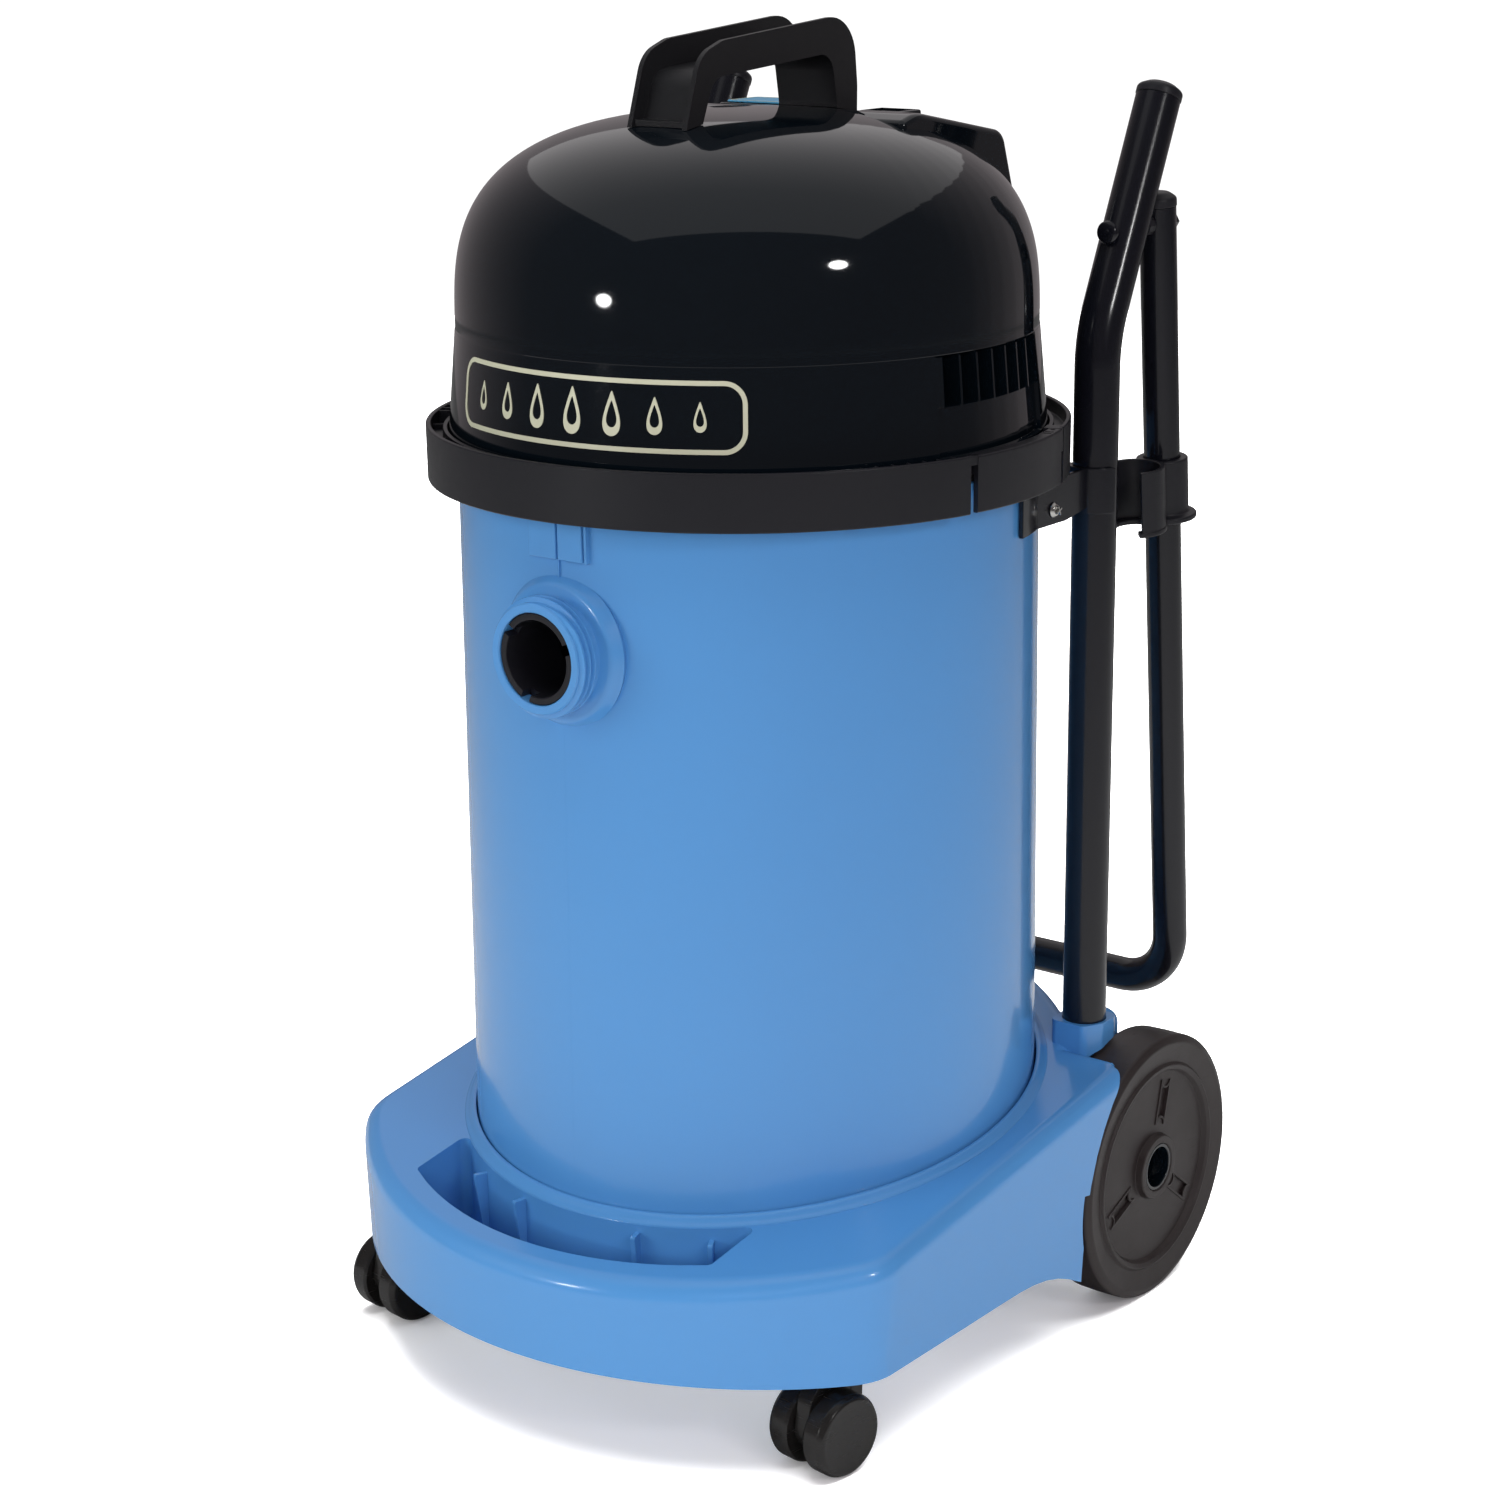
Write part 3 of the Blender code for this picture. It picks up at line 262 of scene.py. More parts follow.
def block(name, low, high, bevel=0.0, segments=3):
    outline = [(low[0], low[1]), (high[0], low[1]), (high[0], high[1]), (low[0], high[1])]
    return prism(name, outline, low[2], high[2], bevel=bevel, segments=segments)


def tube(name, path, radius, wall=0.0, sides=36):
    """A round tube along a path, hollow if it has a wall."""
    points = [Vector(p) for p in path]
    heads = [(b - a).normalized() for a, b in zip(points, points[1:])]
    heads = [heads[0]] + [(a + b).normalized() for a, b in zip(heads, heads[1:])] + [heads[-1]]
    side = heads[0].orthogonal().normalized()
    rings = []
    for point, head in zip(points, heads):
        side = (side - head * side.dot(head)).normalized()
        other = head.cross(side)
        rings.append((point, side.copy(), other))

    def row(ring, r):
        point, u, v = ring
        return [point + (u * math.cos(math.tau * k / sides) + v * math.sin(math.tau * k / sides)) * r
                for k in range(sides)]

    rows = [row(ring, radius) for ring in rings]
    if wall:
        rows += [row(ring, radius - wall) for ring in reversed(rings)]
    return new_object(name, grid(rows, wrap_rows=bool(wall), wrap_columns=True, caps=not wall))


def bend(corners, steps=12):
    """A path through (point, radius) corners, each turned with an arc in its own plane."""
    made = []
    for i, (point, radius) in enumerate(corners):
        here = Vector(point)
        if radius == 0:
            made.append(here)
            continue
        before = (Vector(corners[i - 1][0]) - here).normalized()
        after = (Vector(corners[i + 1][0]) - here).normalized()
        half = before.angle(after) / 2
        reach = radius / math.tan(half)
        middle = here + (before + after).normalized() * radius / math.sin(half)
        axis = before.cross(after).normalized()
        start = here + before * reach - middle
        swing = math.pi - 2 * half
        for k in range(steps + 1):
            made.append(middle + Matrix.Rotation(-swing * k / steps, 3, axis) @ start)
    return made


def bake(item):
    """Makes the object's modifiers part of its mesh."""
    bpy.context.view_layer.update()
    graph = bpy.context.evaluated_depsgraph_get()
    item.data = bpy.data.meshes.new_from_object(item.evaluated_get(graph))
    item.modifiers.clear()
    return item


def soften(item, width, segments=3, angle=50):
    edge = item.modifiers.new("edge", "BEVEL")
    edge.width = width
    edge.segments = segments
    edge.limit_method = "ANGLE"
    edge.angle_limit = math.radians(angle)
    edge.use_clamp_overlap = True
    return bake(item)


def carve(item, *others, mode="DIFFERENCE"):
    for other in others:
        change = item.modifiers.new("carve", "BOOLEAN")
        change.operation = mode
        change.solver = "EXACT"
        change.object = other
        bake(item)
        bpy.data.objects.remove(other, do_unlink=True)
    return item


def merged(name, items):
    """One object out of several meshes that don't need a Boolean between them."""
    bm = bmesh.new()
    for item in items:
        item.data.transform(item.matrix_world)
        bm.from_mesh(item.data)
        bpy.data.objects.remove(item, do_unlink=True)
    mesh = bpy.data.meshes.new(name)
    bm.to_mesh(mesh)
    bm.free()
    made = bpy.data.objects.new(name, mesh)
    scene.collection.objects.link(made)
    return made


def dress(item, look, sharp=38):
    item.data.materials.clear()
    item.data.materials.append(look)
    item.data.shade_smooth()
    item.data.set_sharp_from_angle(angle=math.radians(sharp))
    weigh = item.modifiers.new("normals", "WEIGHTED_NORMAL")
    weigh.keep_sharp = True
    return item


def piece(item, look, body, hides=(), sharp=38, move=None):
    """Makes a shape a visible piece of one body, in place of the CAD nodes it stands for."""
    if move:
        item.data.transform(move)
    item.data.transform(Matrix.Translation(SHIFT))
    dress(item, look, sharp)
    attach(item, body)
    if hides:
        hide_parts(*hides)
    return item


def deck(y):
    """Height of the base's top."""
    return 0.1511 + 0.1452 * y + 0.5 * max(y - 0.0500, 0) ** 2


# ---------------------------------------------------------------- trolley base
FENDER_EDGE = [(0.0683, -0.02), (0.0686, 0.055), (0.0700, 0.0820), (0.0728, 0.1010), (0.0775, 0.1190),
               (0.0840, 0.1350), (0.0920, 0.1490), (0.1010, 0.1610), (0.1100, 0.1720), (0.1150, 0.30),
               (0.30, 0.30), (0.30, -0.02)]

# the base in plan: its front arc and that arc's centre, half its width at the sides and fenders, its rear arc
FRONT_R, FRONT_Y, SIDE_X, FENDER_X, REAR_R = 0.2523, 0.0130, 0.2001, 0.2035, 0.2000
CUP_R, CUP_FLOOR, BASE_WALL = 0.1745, 0.0995, 0.0040
WHEEL_R, WHEEL_Y, AXLE_BORE = 0.0850, 0.1540, 0.0063
AXLE = (0, WHEEL_Y, WHEEL_R)
STEM_X, STEM_Y = 0.1645, -0.1340            # the right castor's stem
TUBE_X, TUBE_Y, LEAN = 0.1594, 0.1278, math.radians(25)


def base_outline(inset, waist=0.0):
    """Plan of the base at a height: inset from its edge, and narrowed by waist towards the foot."""
    reach = FRONT_R - inset - waist * 0.4
    fender, side = FENDER_X - inset - waist, SIDE_X - inset - waist
    turn = math.degrees(math.asin(side / reach))
    front = with_corners(arc(reach, -turn, turn, 56, (0, FRONT_Y)), 0.036, 0.016)
    tail, back, lug, ring = 0.1625 - inset, 0.1680 - inset, 0.1300 + inset, REAR_R - inset
    right = [(fender, 0.1150 - inset, 0.009), (tail, 0.1150 - inset, 0.003), (tail, back, 0.006),
             (lug, back, 0.003)]
    half = math.degrees(math.asin(lug / ring))
    rear = [(x, y, 0) for x, y in arc(ring, 180 - half, 180 + half, 40)]
    return rounded(front + right + rear + [(-x, y, r) for x, y, r in reversed(right)], 8)


def pocket_outline(inset):
    r0, r1, half = 0.1812 + inset, 0.2190 - inset, 0.1125 - inset
    outer = math.degrees(math.asin(half / r1))
    inner = math.degrees(math.asin(half / r0))
    return rounded(with_corners(arc(r1, -outer, outer, 40), 0.0045, 0.012)
                   + with_corners(arc(r0, inner, -inner, 40), 0.0045, 0.012), 5)


def make_base():
    edge = 0.0120
    levels = [(0.0, 0.0065, 0.0), (0.55, 0.0030, 0.0)]
    rows = [[(x, y, 0.020 + (deck(y) - edge - 0.020) * share) for x, y in base_outline(inset, waist)]
            for share, waist, inset in levels]
    for k in range(9):
        turn = math.pi / 2 * k / 8
        rows.append([(x, y, deck(y) - edge + edge * math.sin(turn)) for x, y in
                     base_outline(edge * (1 - math.cos(turn)) * 0.9)])
    base = new_object("base_shell", grid(rows, wrap_columns=True, caps=True))
    below = [(-0.30, 0.0585), (-0.02, 0.0585), (0.0, 0.0583), (0.014, 0.0573), (0.028, 0.0550),
             (0.0415, 0.0510), (0.0525, 0.0464), (0.0630, 0.0410), (0.0748, 0.0351), (0.0800, 0.0340),
             (0.086, 0.0345), (0.0870, 0.0550), (0.30, 0.0550), (0.30, -0.10), (-0.30, -0.10)]
    carve(base, prism("below", below, -0.3, 0.3, "YZ"),
          block("between", (-0.1925, 0.02, -0.05), (0.1925, 0.3, 0.058)))
    pad = rounded([(0.1435, 0.1118, 0.006), (0.1690, 0.1118, 0.006), (0.1752, 0.1240, 0.006),
                   (0.1752, 0.1440, 0.008), (0.1435, 0.1440, 0.004)], 6)
    for way in SIDE.values():
        carve(base, prism("pad", [(way * x, y) for x, y in pad], 0.158, 0.1848), mode="UNION")
    inside = [[(x, y, z) for x, y in base_outline(BASE_WALL, waist)]
              for z, waist in ((-0.05, 0.0065), (0.30, 0.0030))]
    hollow = new_object("hollow", grid(inside, wrap_columns=True, caps=True))
    above = [(y, deck(y) - BASE_WALL) for y in (-0.30, 0.05, 0.08, 0.11, 0.14, 0.17, 0.20)]
    above += [(0.30, 0.25), (0.30, 0.50), (-0.30, 0.50)]
    carve(hollow, prism("above", above, -0.3, 0.3, "YZ"),
          disc("cup_outside", CUP_R + BASE_WALL, CUP_FLOOR - BASE_WALL, 0.4, 120))
    outer = math.degrees(math.asin(0.1165 / 0.2230))
    inner = math.degrees(math.asin(0.1165 / 0.1755))
    around = arc(0.2230, -outer, outer, 30) + arc(0.1755, inner, -inner, 30)
    carve(hollow, prism("pocket_outside", around, 0.063, 0.4))
    for way in SIDE.values():
        ends = sorted((way * 0.1578, way * 0.30))
        carve(hollow, disc("stem_boss", 0.013, 0.0595, 0.3, at=(way * STEM_X, STEM_Y, 0)),
              disc("arch_outside", WHEEL_R + 0.0075, *ends, 96, "X", AXLE),
              block("axle_block", (min(way * 0.134, way * 0.170), 0.136, 0.066),
                    (max(way * 0.134, way * 0.170), 0.172, 0.30)))
    carve(base, hollow)
    carve(base, disc("cup", CUP_R, CUP_FLOOR, 0.4, 160), prism("pocket", pocket_outline(0), 0.066, 0.4))
    for way in SIDE.values():
        ends = sorted((way * 0.1625, way * 0.2001))
        outside = sorted((way * 0.1905, way * 0.25))
        carve(base, disc("arch", WHEEL_R + 0.0035, *ends, 128, "X", AXLE),
              prism("arch_edge", FENDER_EDGE, *outside, "YZ"),
              disc("stem", 0.0052, -0.02, 0.1, 32, at=(way * STEM_X, STEM_Y, 0)),
              disc("tube_hole", 0.0137, 0.1747, 0.3, 48, at=(way * TUBE_X, TUBE_Y, 0)))
    carve(base, disc("axle_hole", AXLE_BORE, -0.3, 0.3, 32, "X", AXLE))
    soften(base, 0.0012, 3, 42)
    lip_line = [(0.1735, -0.010), (0.1735, 0.0042), (0.1740, 0.0050), (0.1754, 0.0053), (0.1764, 0.0049),
                (0.1774, 0.0038), (0.1784, 0.0026), (0.1794, 0.0017), (0.1806, 0.0010), (0.1809, 0.0002),
                (0.1809, -0.010)]
    rows = []
    for i in range(240):
        across, along = math.sin(math.tau * i / 240), -math.cos(math.tau * i / 240)
        rows.append([(r * across, r * along, deck(r * along) + h) for r, h in lip_line])
    lip = new_object("lip", grid(rows, wrap_rows=True, wrap_columns=True))
    ribs = []
    gusset = [(-0.1822, 0.0655), (-0.1893, 0.1195), (-0.1886, 0.1215), (-0.1800, 0.1215), (-0.1800, 0.0655)]
    for turn in (-25.8, -11.3, 15.6, 29.6):
        ribs.append(turned(prism("rib", gusset, -0.0016, 0.0016, "YZ", 0.0005, 2), turn))
    piece(merged("base_shell", [base, lip] + ribs), BLUE, "trolley", ["trolley_base"])


# ---------------------------------------------------------------- drum and inlet
NECK = (0, 0, 0.4568)


def make_drum():
    line = [(0, 0.103), (0.160, 0.103), (0.168, 0.106), (0.1700, 0.112), (0.1672, 0.536), (0.1680, 0.549),
            (0.1830, 0.549), (0.1835, 0.5485), (0.1835, 0.5452), (0.1720, 0.5445), (0.1704, 0.5430),
            (0.17015, 0.540), (0.1730, 0.112), (0.1725, 0.1065), (0.1705, 0.1025), (0.166, 0.100), (0, 0.100)]
    drum = lathe("drum", line, 240, closed=False)
    carve(drum, disc("bore", 0.0262, -0.12, -0.25, 96, "Y", NECK))
    neck_line = [(0.0262, -0.1600), (0.0400, -0.1600), (0.0436, -0.1690), (0.0418, -0.1716),
                 (0.0404, -0.1735), (0.0392, -0.1748), (0.0370, -0.1754), (0.0335, -0.1756),
                 (0.0320, -0.1762), (0.0316, -0.1780), (0.0314, -0.1930), (0.0308, -0.1937),
                 (0.0268, -0.1937), (0.0262, -0.1931)]
    neck = lathe("neck", neck_line, 128, "Y", NECK)
    rows = []
    turns, per_turn = 3.1, 64
    for i in range(int(turns * per_turn) + 1):
        turn = math.tau * i / per_turn
        fade = min(1, i / 10, (turns * per_turn - i) / 10)
        along = -0.1915 + 0.0044 * i / per_turn
        cut = [(0.0306, -0.0019), (0.0306 + 0.0034 * fade, -0.0007), (0.0306 + 0.0036 * fade, 0.0),
               (0.0306 + 0.0034 * fade, 0.0007), (0.0306, 0.0019)]
        rows.append([(r * math.sin(turn), along + d, NECK[2] + r * math.cos(turn)) for r, d in cut])
    thread = new_object("thread", grid(rows, wrap_columns=True, caps=True))
    tab = []
    for x0, x1 in ((-0.0205, -0.0006), (0.0006, 0.0180)):
        tab.append(block("tab", (x0, -0.1731, 0.5090), (x1, -0.1660, 0.5440), 0.0007, 3))
    tab.append(block("tab_edge", (0.0190, -0.1722, 0.5085), (0.0208, -0.1660, 0.5440), 0.0004, 2))
    seam = block("seam", (-0.00025, -0.17145, 0.4990), (0.00025, -0.1680, 0.5095))
    low_seam = [(-0.17302 + 0.00655 * (z - 0.112), z) for z in (0.13, 0.20, 0.27, 0.34, 0.412)]
    low_seam = prism("low_seam", low_seam + [(-0.1690, 0.412), (-0.1690, 0.13)], -0.0003, 0.0003, "YZ")
    piece(merged("drum_shell", [drum, neck, thread, seam, low_seam] + tab), BLUE, "trolley",
          ["tank"])
    sleeve_line = rounded([(0.0218, -0.1480, 0.0006), (0.0259, -0.1480, 0.0006), (0.0259, -0.1926, 0.0008),
                           (0.0218, -0.1926, 0.0008)], 3)
    sleeve = lathe("inlet_sleeve_look", sleeve_line, 96, "Y", NECK)
    for turn in (200, 305, 70):
        notch = turned(block("notch", (-0.003, -0.21, 0.018), (0.003, -0.1850, 0.030)), turn, "Y")
        notch.data.transform(Matrix.Translation(NECK))
        carve(sleeve, notch)
    piece(sleeve, SATIN, "trolley", ["inlet_sleeve"])


# ---------------------------------------------------------------- ring and latches
LATCH_PIN = Vector((*arc(0.1839, 107.3, 0, 1)[0], 0))
LATCH_SWING = math.radians(35)


def make_ring():
    gutter = rounded([(0.1500, 0.5515, 0.0003), (0.1790, 0.5515, 0.0), (0.1790, 0.5570, 0.0),
                      (0.1785, 0.5575, 0.0), (0.1783, 0.5625, 0.0005), (0.1757, 0.5625, 0.0005),
                      (0.1757, 0.5545, 0.0003), (0.1500, 0.5545, 0.0003)], 3)
    wall = rounded([(0.1786, 0.5515, 0.0), (0.1852, 0.5515, 0.0005), (0.1855, 0.5330, 0.0007),
                    (0.1881, 0.5330, 0.0010), (0.1883, 0.5655, 0.0010), (0.1853, 0.5655, 0.0008),
                    (0.1850, 0.5575, 0.0006), (0.1786, 0.5575, 0.0)], 4)
    parts = [lathe("gutter", gutter, 240), lathe("front_wall", wall, 120, part=(-77.6, 77.6)),
             lathe("rear_wall", wall, 104, part=(110.0, 250.0))]
    for way in SIDE.values():
        lug = [(way * x, y) for x, y in sector(0.1770, 0.1879, 108.6, 112.0, 4)]
        parts.append(prism("lug", lug, 0.5515, 0.5653, bevel=0.0006))
        for turn in range(6):
            rib = block("rib", (-0.0006, -0.1856, 0.5570), (0.0006, -0.1788, 0.5648), 0.0002, 2)
            parts.append(turned(rib, way * (60 + 3.1 * turn)))
    for turn in range(24):
        if abs((turn * 15 + 187) % 360 - 180) < 76:
            web = block("web", (-0.0005, -0.1856, 0.5570), (0.0005, -0.1784, 0.5606), 0.0002, 2)
            parts.append(turned(web, turn * 15 + 7))
    piece(merged("rim_ring_look", parts), SATIN, "head", ["rim_ring"])
    skirt_line = rounded([(0.1848, 0.5334, 0.0006), (0.1882, 0.5334, 0.0010), (0.1884, 0.5652, 0.0012),
                          (0.1800, 0.5652, 0.0010), (0.1800, 0.5560, 0.0006), (0.1848, 0.5540, 0.0003)], 4)
    tip_line = [(0.1822, -0.0452), (0.1792, -0.0458), (0.1802, -0.0330), (0.1852, -0.0330)]
    for name, way in SIDE.items():
        skirt = lathe("skirt", skirt_line, 40, part=(79.2, 108.2))
        tip = prism("tip", tip_line, 0.5600, 0.5652, bevel=0.0004)
        for turn in (103.6, 105.0):
            carve(skirt, turned(block("slot", (-0.0011, -0.1866, 0.5600), (0.0011, -0.1812, 0.5700)), turn))
        for share in (1 / 3, 2 / 3, 1):
            centre = LATCH_PIN - Matrix.Rotation(-LATCH_SWING * share, 3, "Z") @ LATCH_PIN
            carve(skirt, disc("rim_room", 0.1847, 0.50, 0.5518, 160, at=centre))
        latch = merged(f"latch_{name}_look", [skirt, tip])
        if way < 0:
            latch.data.transform(Matrix.Scale(-1, 4, (1, 0, 0)))
            latch.data.flip_normals()
        piece(latch, SATIN, f"latch_{name}", [f"latch_{name}"])


# ---------------------------------------------------------------- dome cover
DOME_TOP = 0.7404


def dome_point(share):
    turn = math.pi / 2 * share
    return 0.1692 * math.cos(turn) ** 0.742, 0.6191 + 0.1213 * math.sin(turn) ** 0.652


def dome_radius(z):
    """The dome's radius below its shoulder, where its side leans in a little."""
    return 0.1692 + 0.0901 * (0.6191 - z) + 0.00035


def make_dome():
    recess, slots = (74.5, 110.7), (0.5905, 0.6180)
    pitch, fin = 4.75, 0.62         # degrees, as is the recess
    fins = [recess[0] + 1.2 + pitch * i for i in range(8)]
    stops = []
    for way in SIDE.values():
        for edge in recess:
            stops += [way * edge - 0.12, way * edge + 0.12]
        for middle in fins:
            for edge in (middle - fin / 2, middle + fin / 2):
                stops += [way * edge - 0.05, way * edge + 0.05]
    turns = sorted({round(t % 360, 3) for t in stops + [2.0 * i for i in range(180)]})
    low_z = [0.5552, 0.5560, 0.5628, 0.5634, 0.574, 0.584, slots[0] - 0.0004, slots[0] + 0.0004, 0.600, 0.610,
             slots[1] - 0.0004, slots[1] + 0.0004, 0.61866, 0.61874]
    line = [(0.1750 - 0.0030, 0.575), (0.1750 - 0.0030, 0.5548), (0.1745, 0.5548)]
    line += [(dome_radius(z), z) for z in low_z] + [(0.1693, 0.6190)]
    line += [dome_point(0.0005 + 0.9990 * (i / 46) ** 1.35) for i in range(47)] + [(0.0, DOME_TOP)]
    gaps = [(a + fin / 2, b - fin / 2) for a, b in zip(fins, fins[1:])]

    def depth(turn, z):
        turn = abs((turn + 180) % 360 - 180)
        if not (recess[0] < turn < recess[1] and 0.5630 < z < 0.6187):
            return 0.0
        if slots[0] < z < slots[1]:
            if any(a < turn < b for a, b in gaps):
                return 0.0120
            return 0.0
        return 0.0022

    rows = []
    for r, z in line:
        around = [(math.radians(t), r - depth(t, z)) for t in turns]
        rows.append([(deep * math.sin(t), -deep * math.cos(t), z) for t, deep in around])
    dome = new_object("dome_shell", grid(rows, wrap_columns=True))
    housing_line = rounded([(0.030, 0.640, 0), (0.0260, 0.7350, 0.004), (0.0420, 0.7392, 0.03),
                            (0.1300, 0.7228, 0.012), (0.1680, 0.6110, 0.004), (0.120, 0.600, 0)], 8)
    housing = prism("housing", housing_line, -0.0918, 0.0918, "YZ", 0.007, 5, 60)
    pod = prism("pod", rounded_box(-0.0880, 0.0845, -0.0182, 0.1240, 0.006), 0.7150, 0.7355, bevel=0.0014)
    frame_ring = carve(block("rocker_rim", (0.0285, 0.0700, 0.722), (0.0575, 0.0940, 0.7362), 0.0014),
                       block("rocker_gap", (0.0306, 0.0722, 0.70), (0.0554, 0.0918, 0.76)))
    piece(merged("dome_shell", [dome, housing, pod, frame_ring]), GLOSS, "head",
          ["dome_cover"], sharp=32)
    film_line = rounded_box(-0.0838, 0.0882, -0.0222, 0.1198, 0.004)
    film = prism("label_film", film_line, 0.7358, 0.7368, bevel=0.0003, segments=2)
    piece(film, PRINT, "head", ["label_plate"])
    border = rounded_box(-0.0822, 0.0898, -0.0238, 0.1182, 0.003)
    inner = rounded_box(-0.0808, 0.0912, -0.0252, 0.1168, 0.002)
    levels = ((border, 0.73685), (border, 0.73695), (inner, 0.73695), (inner, 0.73685))
    rows = [[(x, y, z) for x, y in line] for line, z in levels]
    piece(new_object("label_border", grid(rows, wrap_columns=True)), CREAM, "head")
    rocker_line = rounded([(-0.0073, -0.0055, 0), (0.0073, -0.0055, 0), (0.0087, 0.0040, 0.0012),
                           (0, 0.0020, 0.02), (-0.0087, 0.0040, 0.0012)], 5)
    rocker = prism("rocker_look", rocker_line, -0.0113, 0.0113, "YZ", 0.0008)
    piece(rocker, SATIN, "switch", ["rocker_switch"],
          move=Matrix.Translation((0.043, 0.082, 0.7312)))


def make_decal():
    """A plain mark on the dome's front left: an outlined capsule with a row of drops in it."""
    def ribbon(name, outer, inner):
        rows = []
        for lift, line in ((0.0001, outer), (0.00035, outer), (0.00035, inner), (0.0001, inner)):
            row = []
            for turn, z in line:
                r = dome_radius(z) + lift
                row.append((r * math.sin(math.radians(turn)), -r * math.cos(math.radians(turn)), z))
            rows.append(row)
        return new_object(name, grid(rows, wrap_columns=True))

    metre = math.degrees(1 / 0.1722)

    def capsule(centre, z, half_u, half_v, radius):
        outline = rounded([(half_u, -half_v, radius), (half_u, half_v, radius), (-half_u, half_v, radius),
                           (-half_u, -half_v, radius)], 10)
        made = []
        for i, (u, v) in enumerate(outline):
            last_u, last_v = outline[i - 1]
            parts = max(1, round(math.hypot(u - last_u, v - last_v) / 0.003))
            for k in range(1, parts + 1):
                made.append((last_u + (u - last_u) * k / parts, last_v + (v - last_v) * k / parts))
        return [(centre + u * metre, z + v) for u, v in made]

    def drop(centre, z, size, count=48):
        made = []
        for i in range(count):
            a = math.tau * i / count
            pull = 0.5 * (1 + math.sin(a))
            made.append((centre + size * 0.62 * math.cos(a) * (1 - 0.72 * pull ** 2) * metre,
                         z + size * (math.sin(a) * (1 + 0.45 * pull) - 0.18)))
        return made

    middle, height = 4.3, 0.5925
    outside, inside = [capsule(middle, height, 0.1005 - d, 0.0195 - d, 0.0125 - d) for d in (0.0, 0.0026)]
    shapes = [ribbon("rim", outside, inside)]
    for i, size in enumerate((0.0066, 0.0082, 0.0098, 0.0104, 0.0098, 0.0082, 0.0066)):
        centre = middle + (i - 3) * 0.0250 * metre
        shapes.append(ribbon("drop", drop(centre, height, size), drop(centre, height, size * 0.60)))
    piece(merged("dome_decal", shapes), CREAM, "head", sharp=60)


# ---------------------------------------------------------------- carry handle
def make_handle():
    outside = rounded([(-0.0800, 0.690, 0), (-0.0800, 0.7340, 0.01), (-0.0665, 0.7745, 0.020),
                       (-0.0460, 0.7815, 0.02), (0.0760, 0.7912, 0.024), (0.0802, 0.7500, 0.03),
                       (0.0790, 0.690, 0)], 10)
    hole = rounded([(0.0590, 0.680, 0), (0.0600, 0.7400, 0.02), (0.0550, 0.7695, 0.012),
                    (-0.0550, 0.7615, 0.014), (-0.0680, 0.7300, 0.02), (-0.0690, 0.680, 0)], 10)
    web = rounded([(-0.0730, 0.680, 0), (-0.0722, 0.7300, 0.02), (-0.0590, 0.7650, 0.016),
                   (0.0580, 0.7735, 0.015), (0.0642, 0.7420, 0.02), (0.0632, 0.680, 0)], 10)
    near = 0.0212
    handle = prism("handle", outside, -near, near, "YZ")
    carve(handle, prism("hole", hole, -0.05, 0.05, "YZ"))
    channel = block("channel", (0.0032 - near, -0.12, 0.69), (near - 0.0032, 0.12, 0.85))
    carve(channel, prism("web", web, -0.06, 0.06, "YZ"))
    carve(channel, block("feet", (-0.05, -0.0770, 0.68), (0.05, 0.0775, 0.7390)))
    carve(handle, channel)
    gap = 0.0003
    line = [(0.0, 0.60)] + [(r + gap, z + gap) for r, z in map(dome_point, (i / 30 for i in range(30)))]
    line.append((0, DOME_TOP + gap))
    carve(handle, lathe("seat", line, 96, closed=False))
    soften(handle, 0.0013, 3, 35)
    piece(handle, GRIP, "head", ["carry_handle"])


# ---------------------------------------------------------------- wheels and castors
SPOKES = (-14, 112, 232)        # degrees from straight up, towards the front


def spoke_outline(half):
    """The outline of a groove with round ends in the wheel's face, half being half its width."""
    inner, outer = 0.0265, 0.0555
    return [(x, -y) for x, y in arc(half, -90, 90, 10, (0, -inner)) + arc(half, 90, 270, 10, (0, -outer))]


def spoke_place(x, turn):
    """Lays a groove's outline on the wheel's face at x, turned about the axle."""
    upright = Matrix.Rotation(math.pi / 2, 4, "Y") @ Matrix.Rotation(math.pi / 2, 4, "Z")
    return Matrix.Translation((x, 0, 0)) @ Matrix.Rotation(math.radians(turn), 4, "X") @ upright


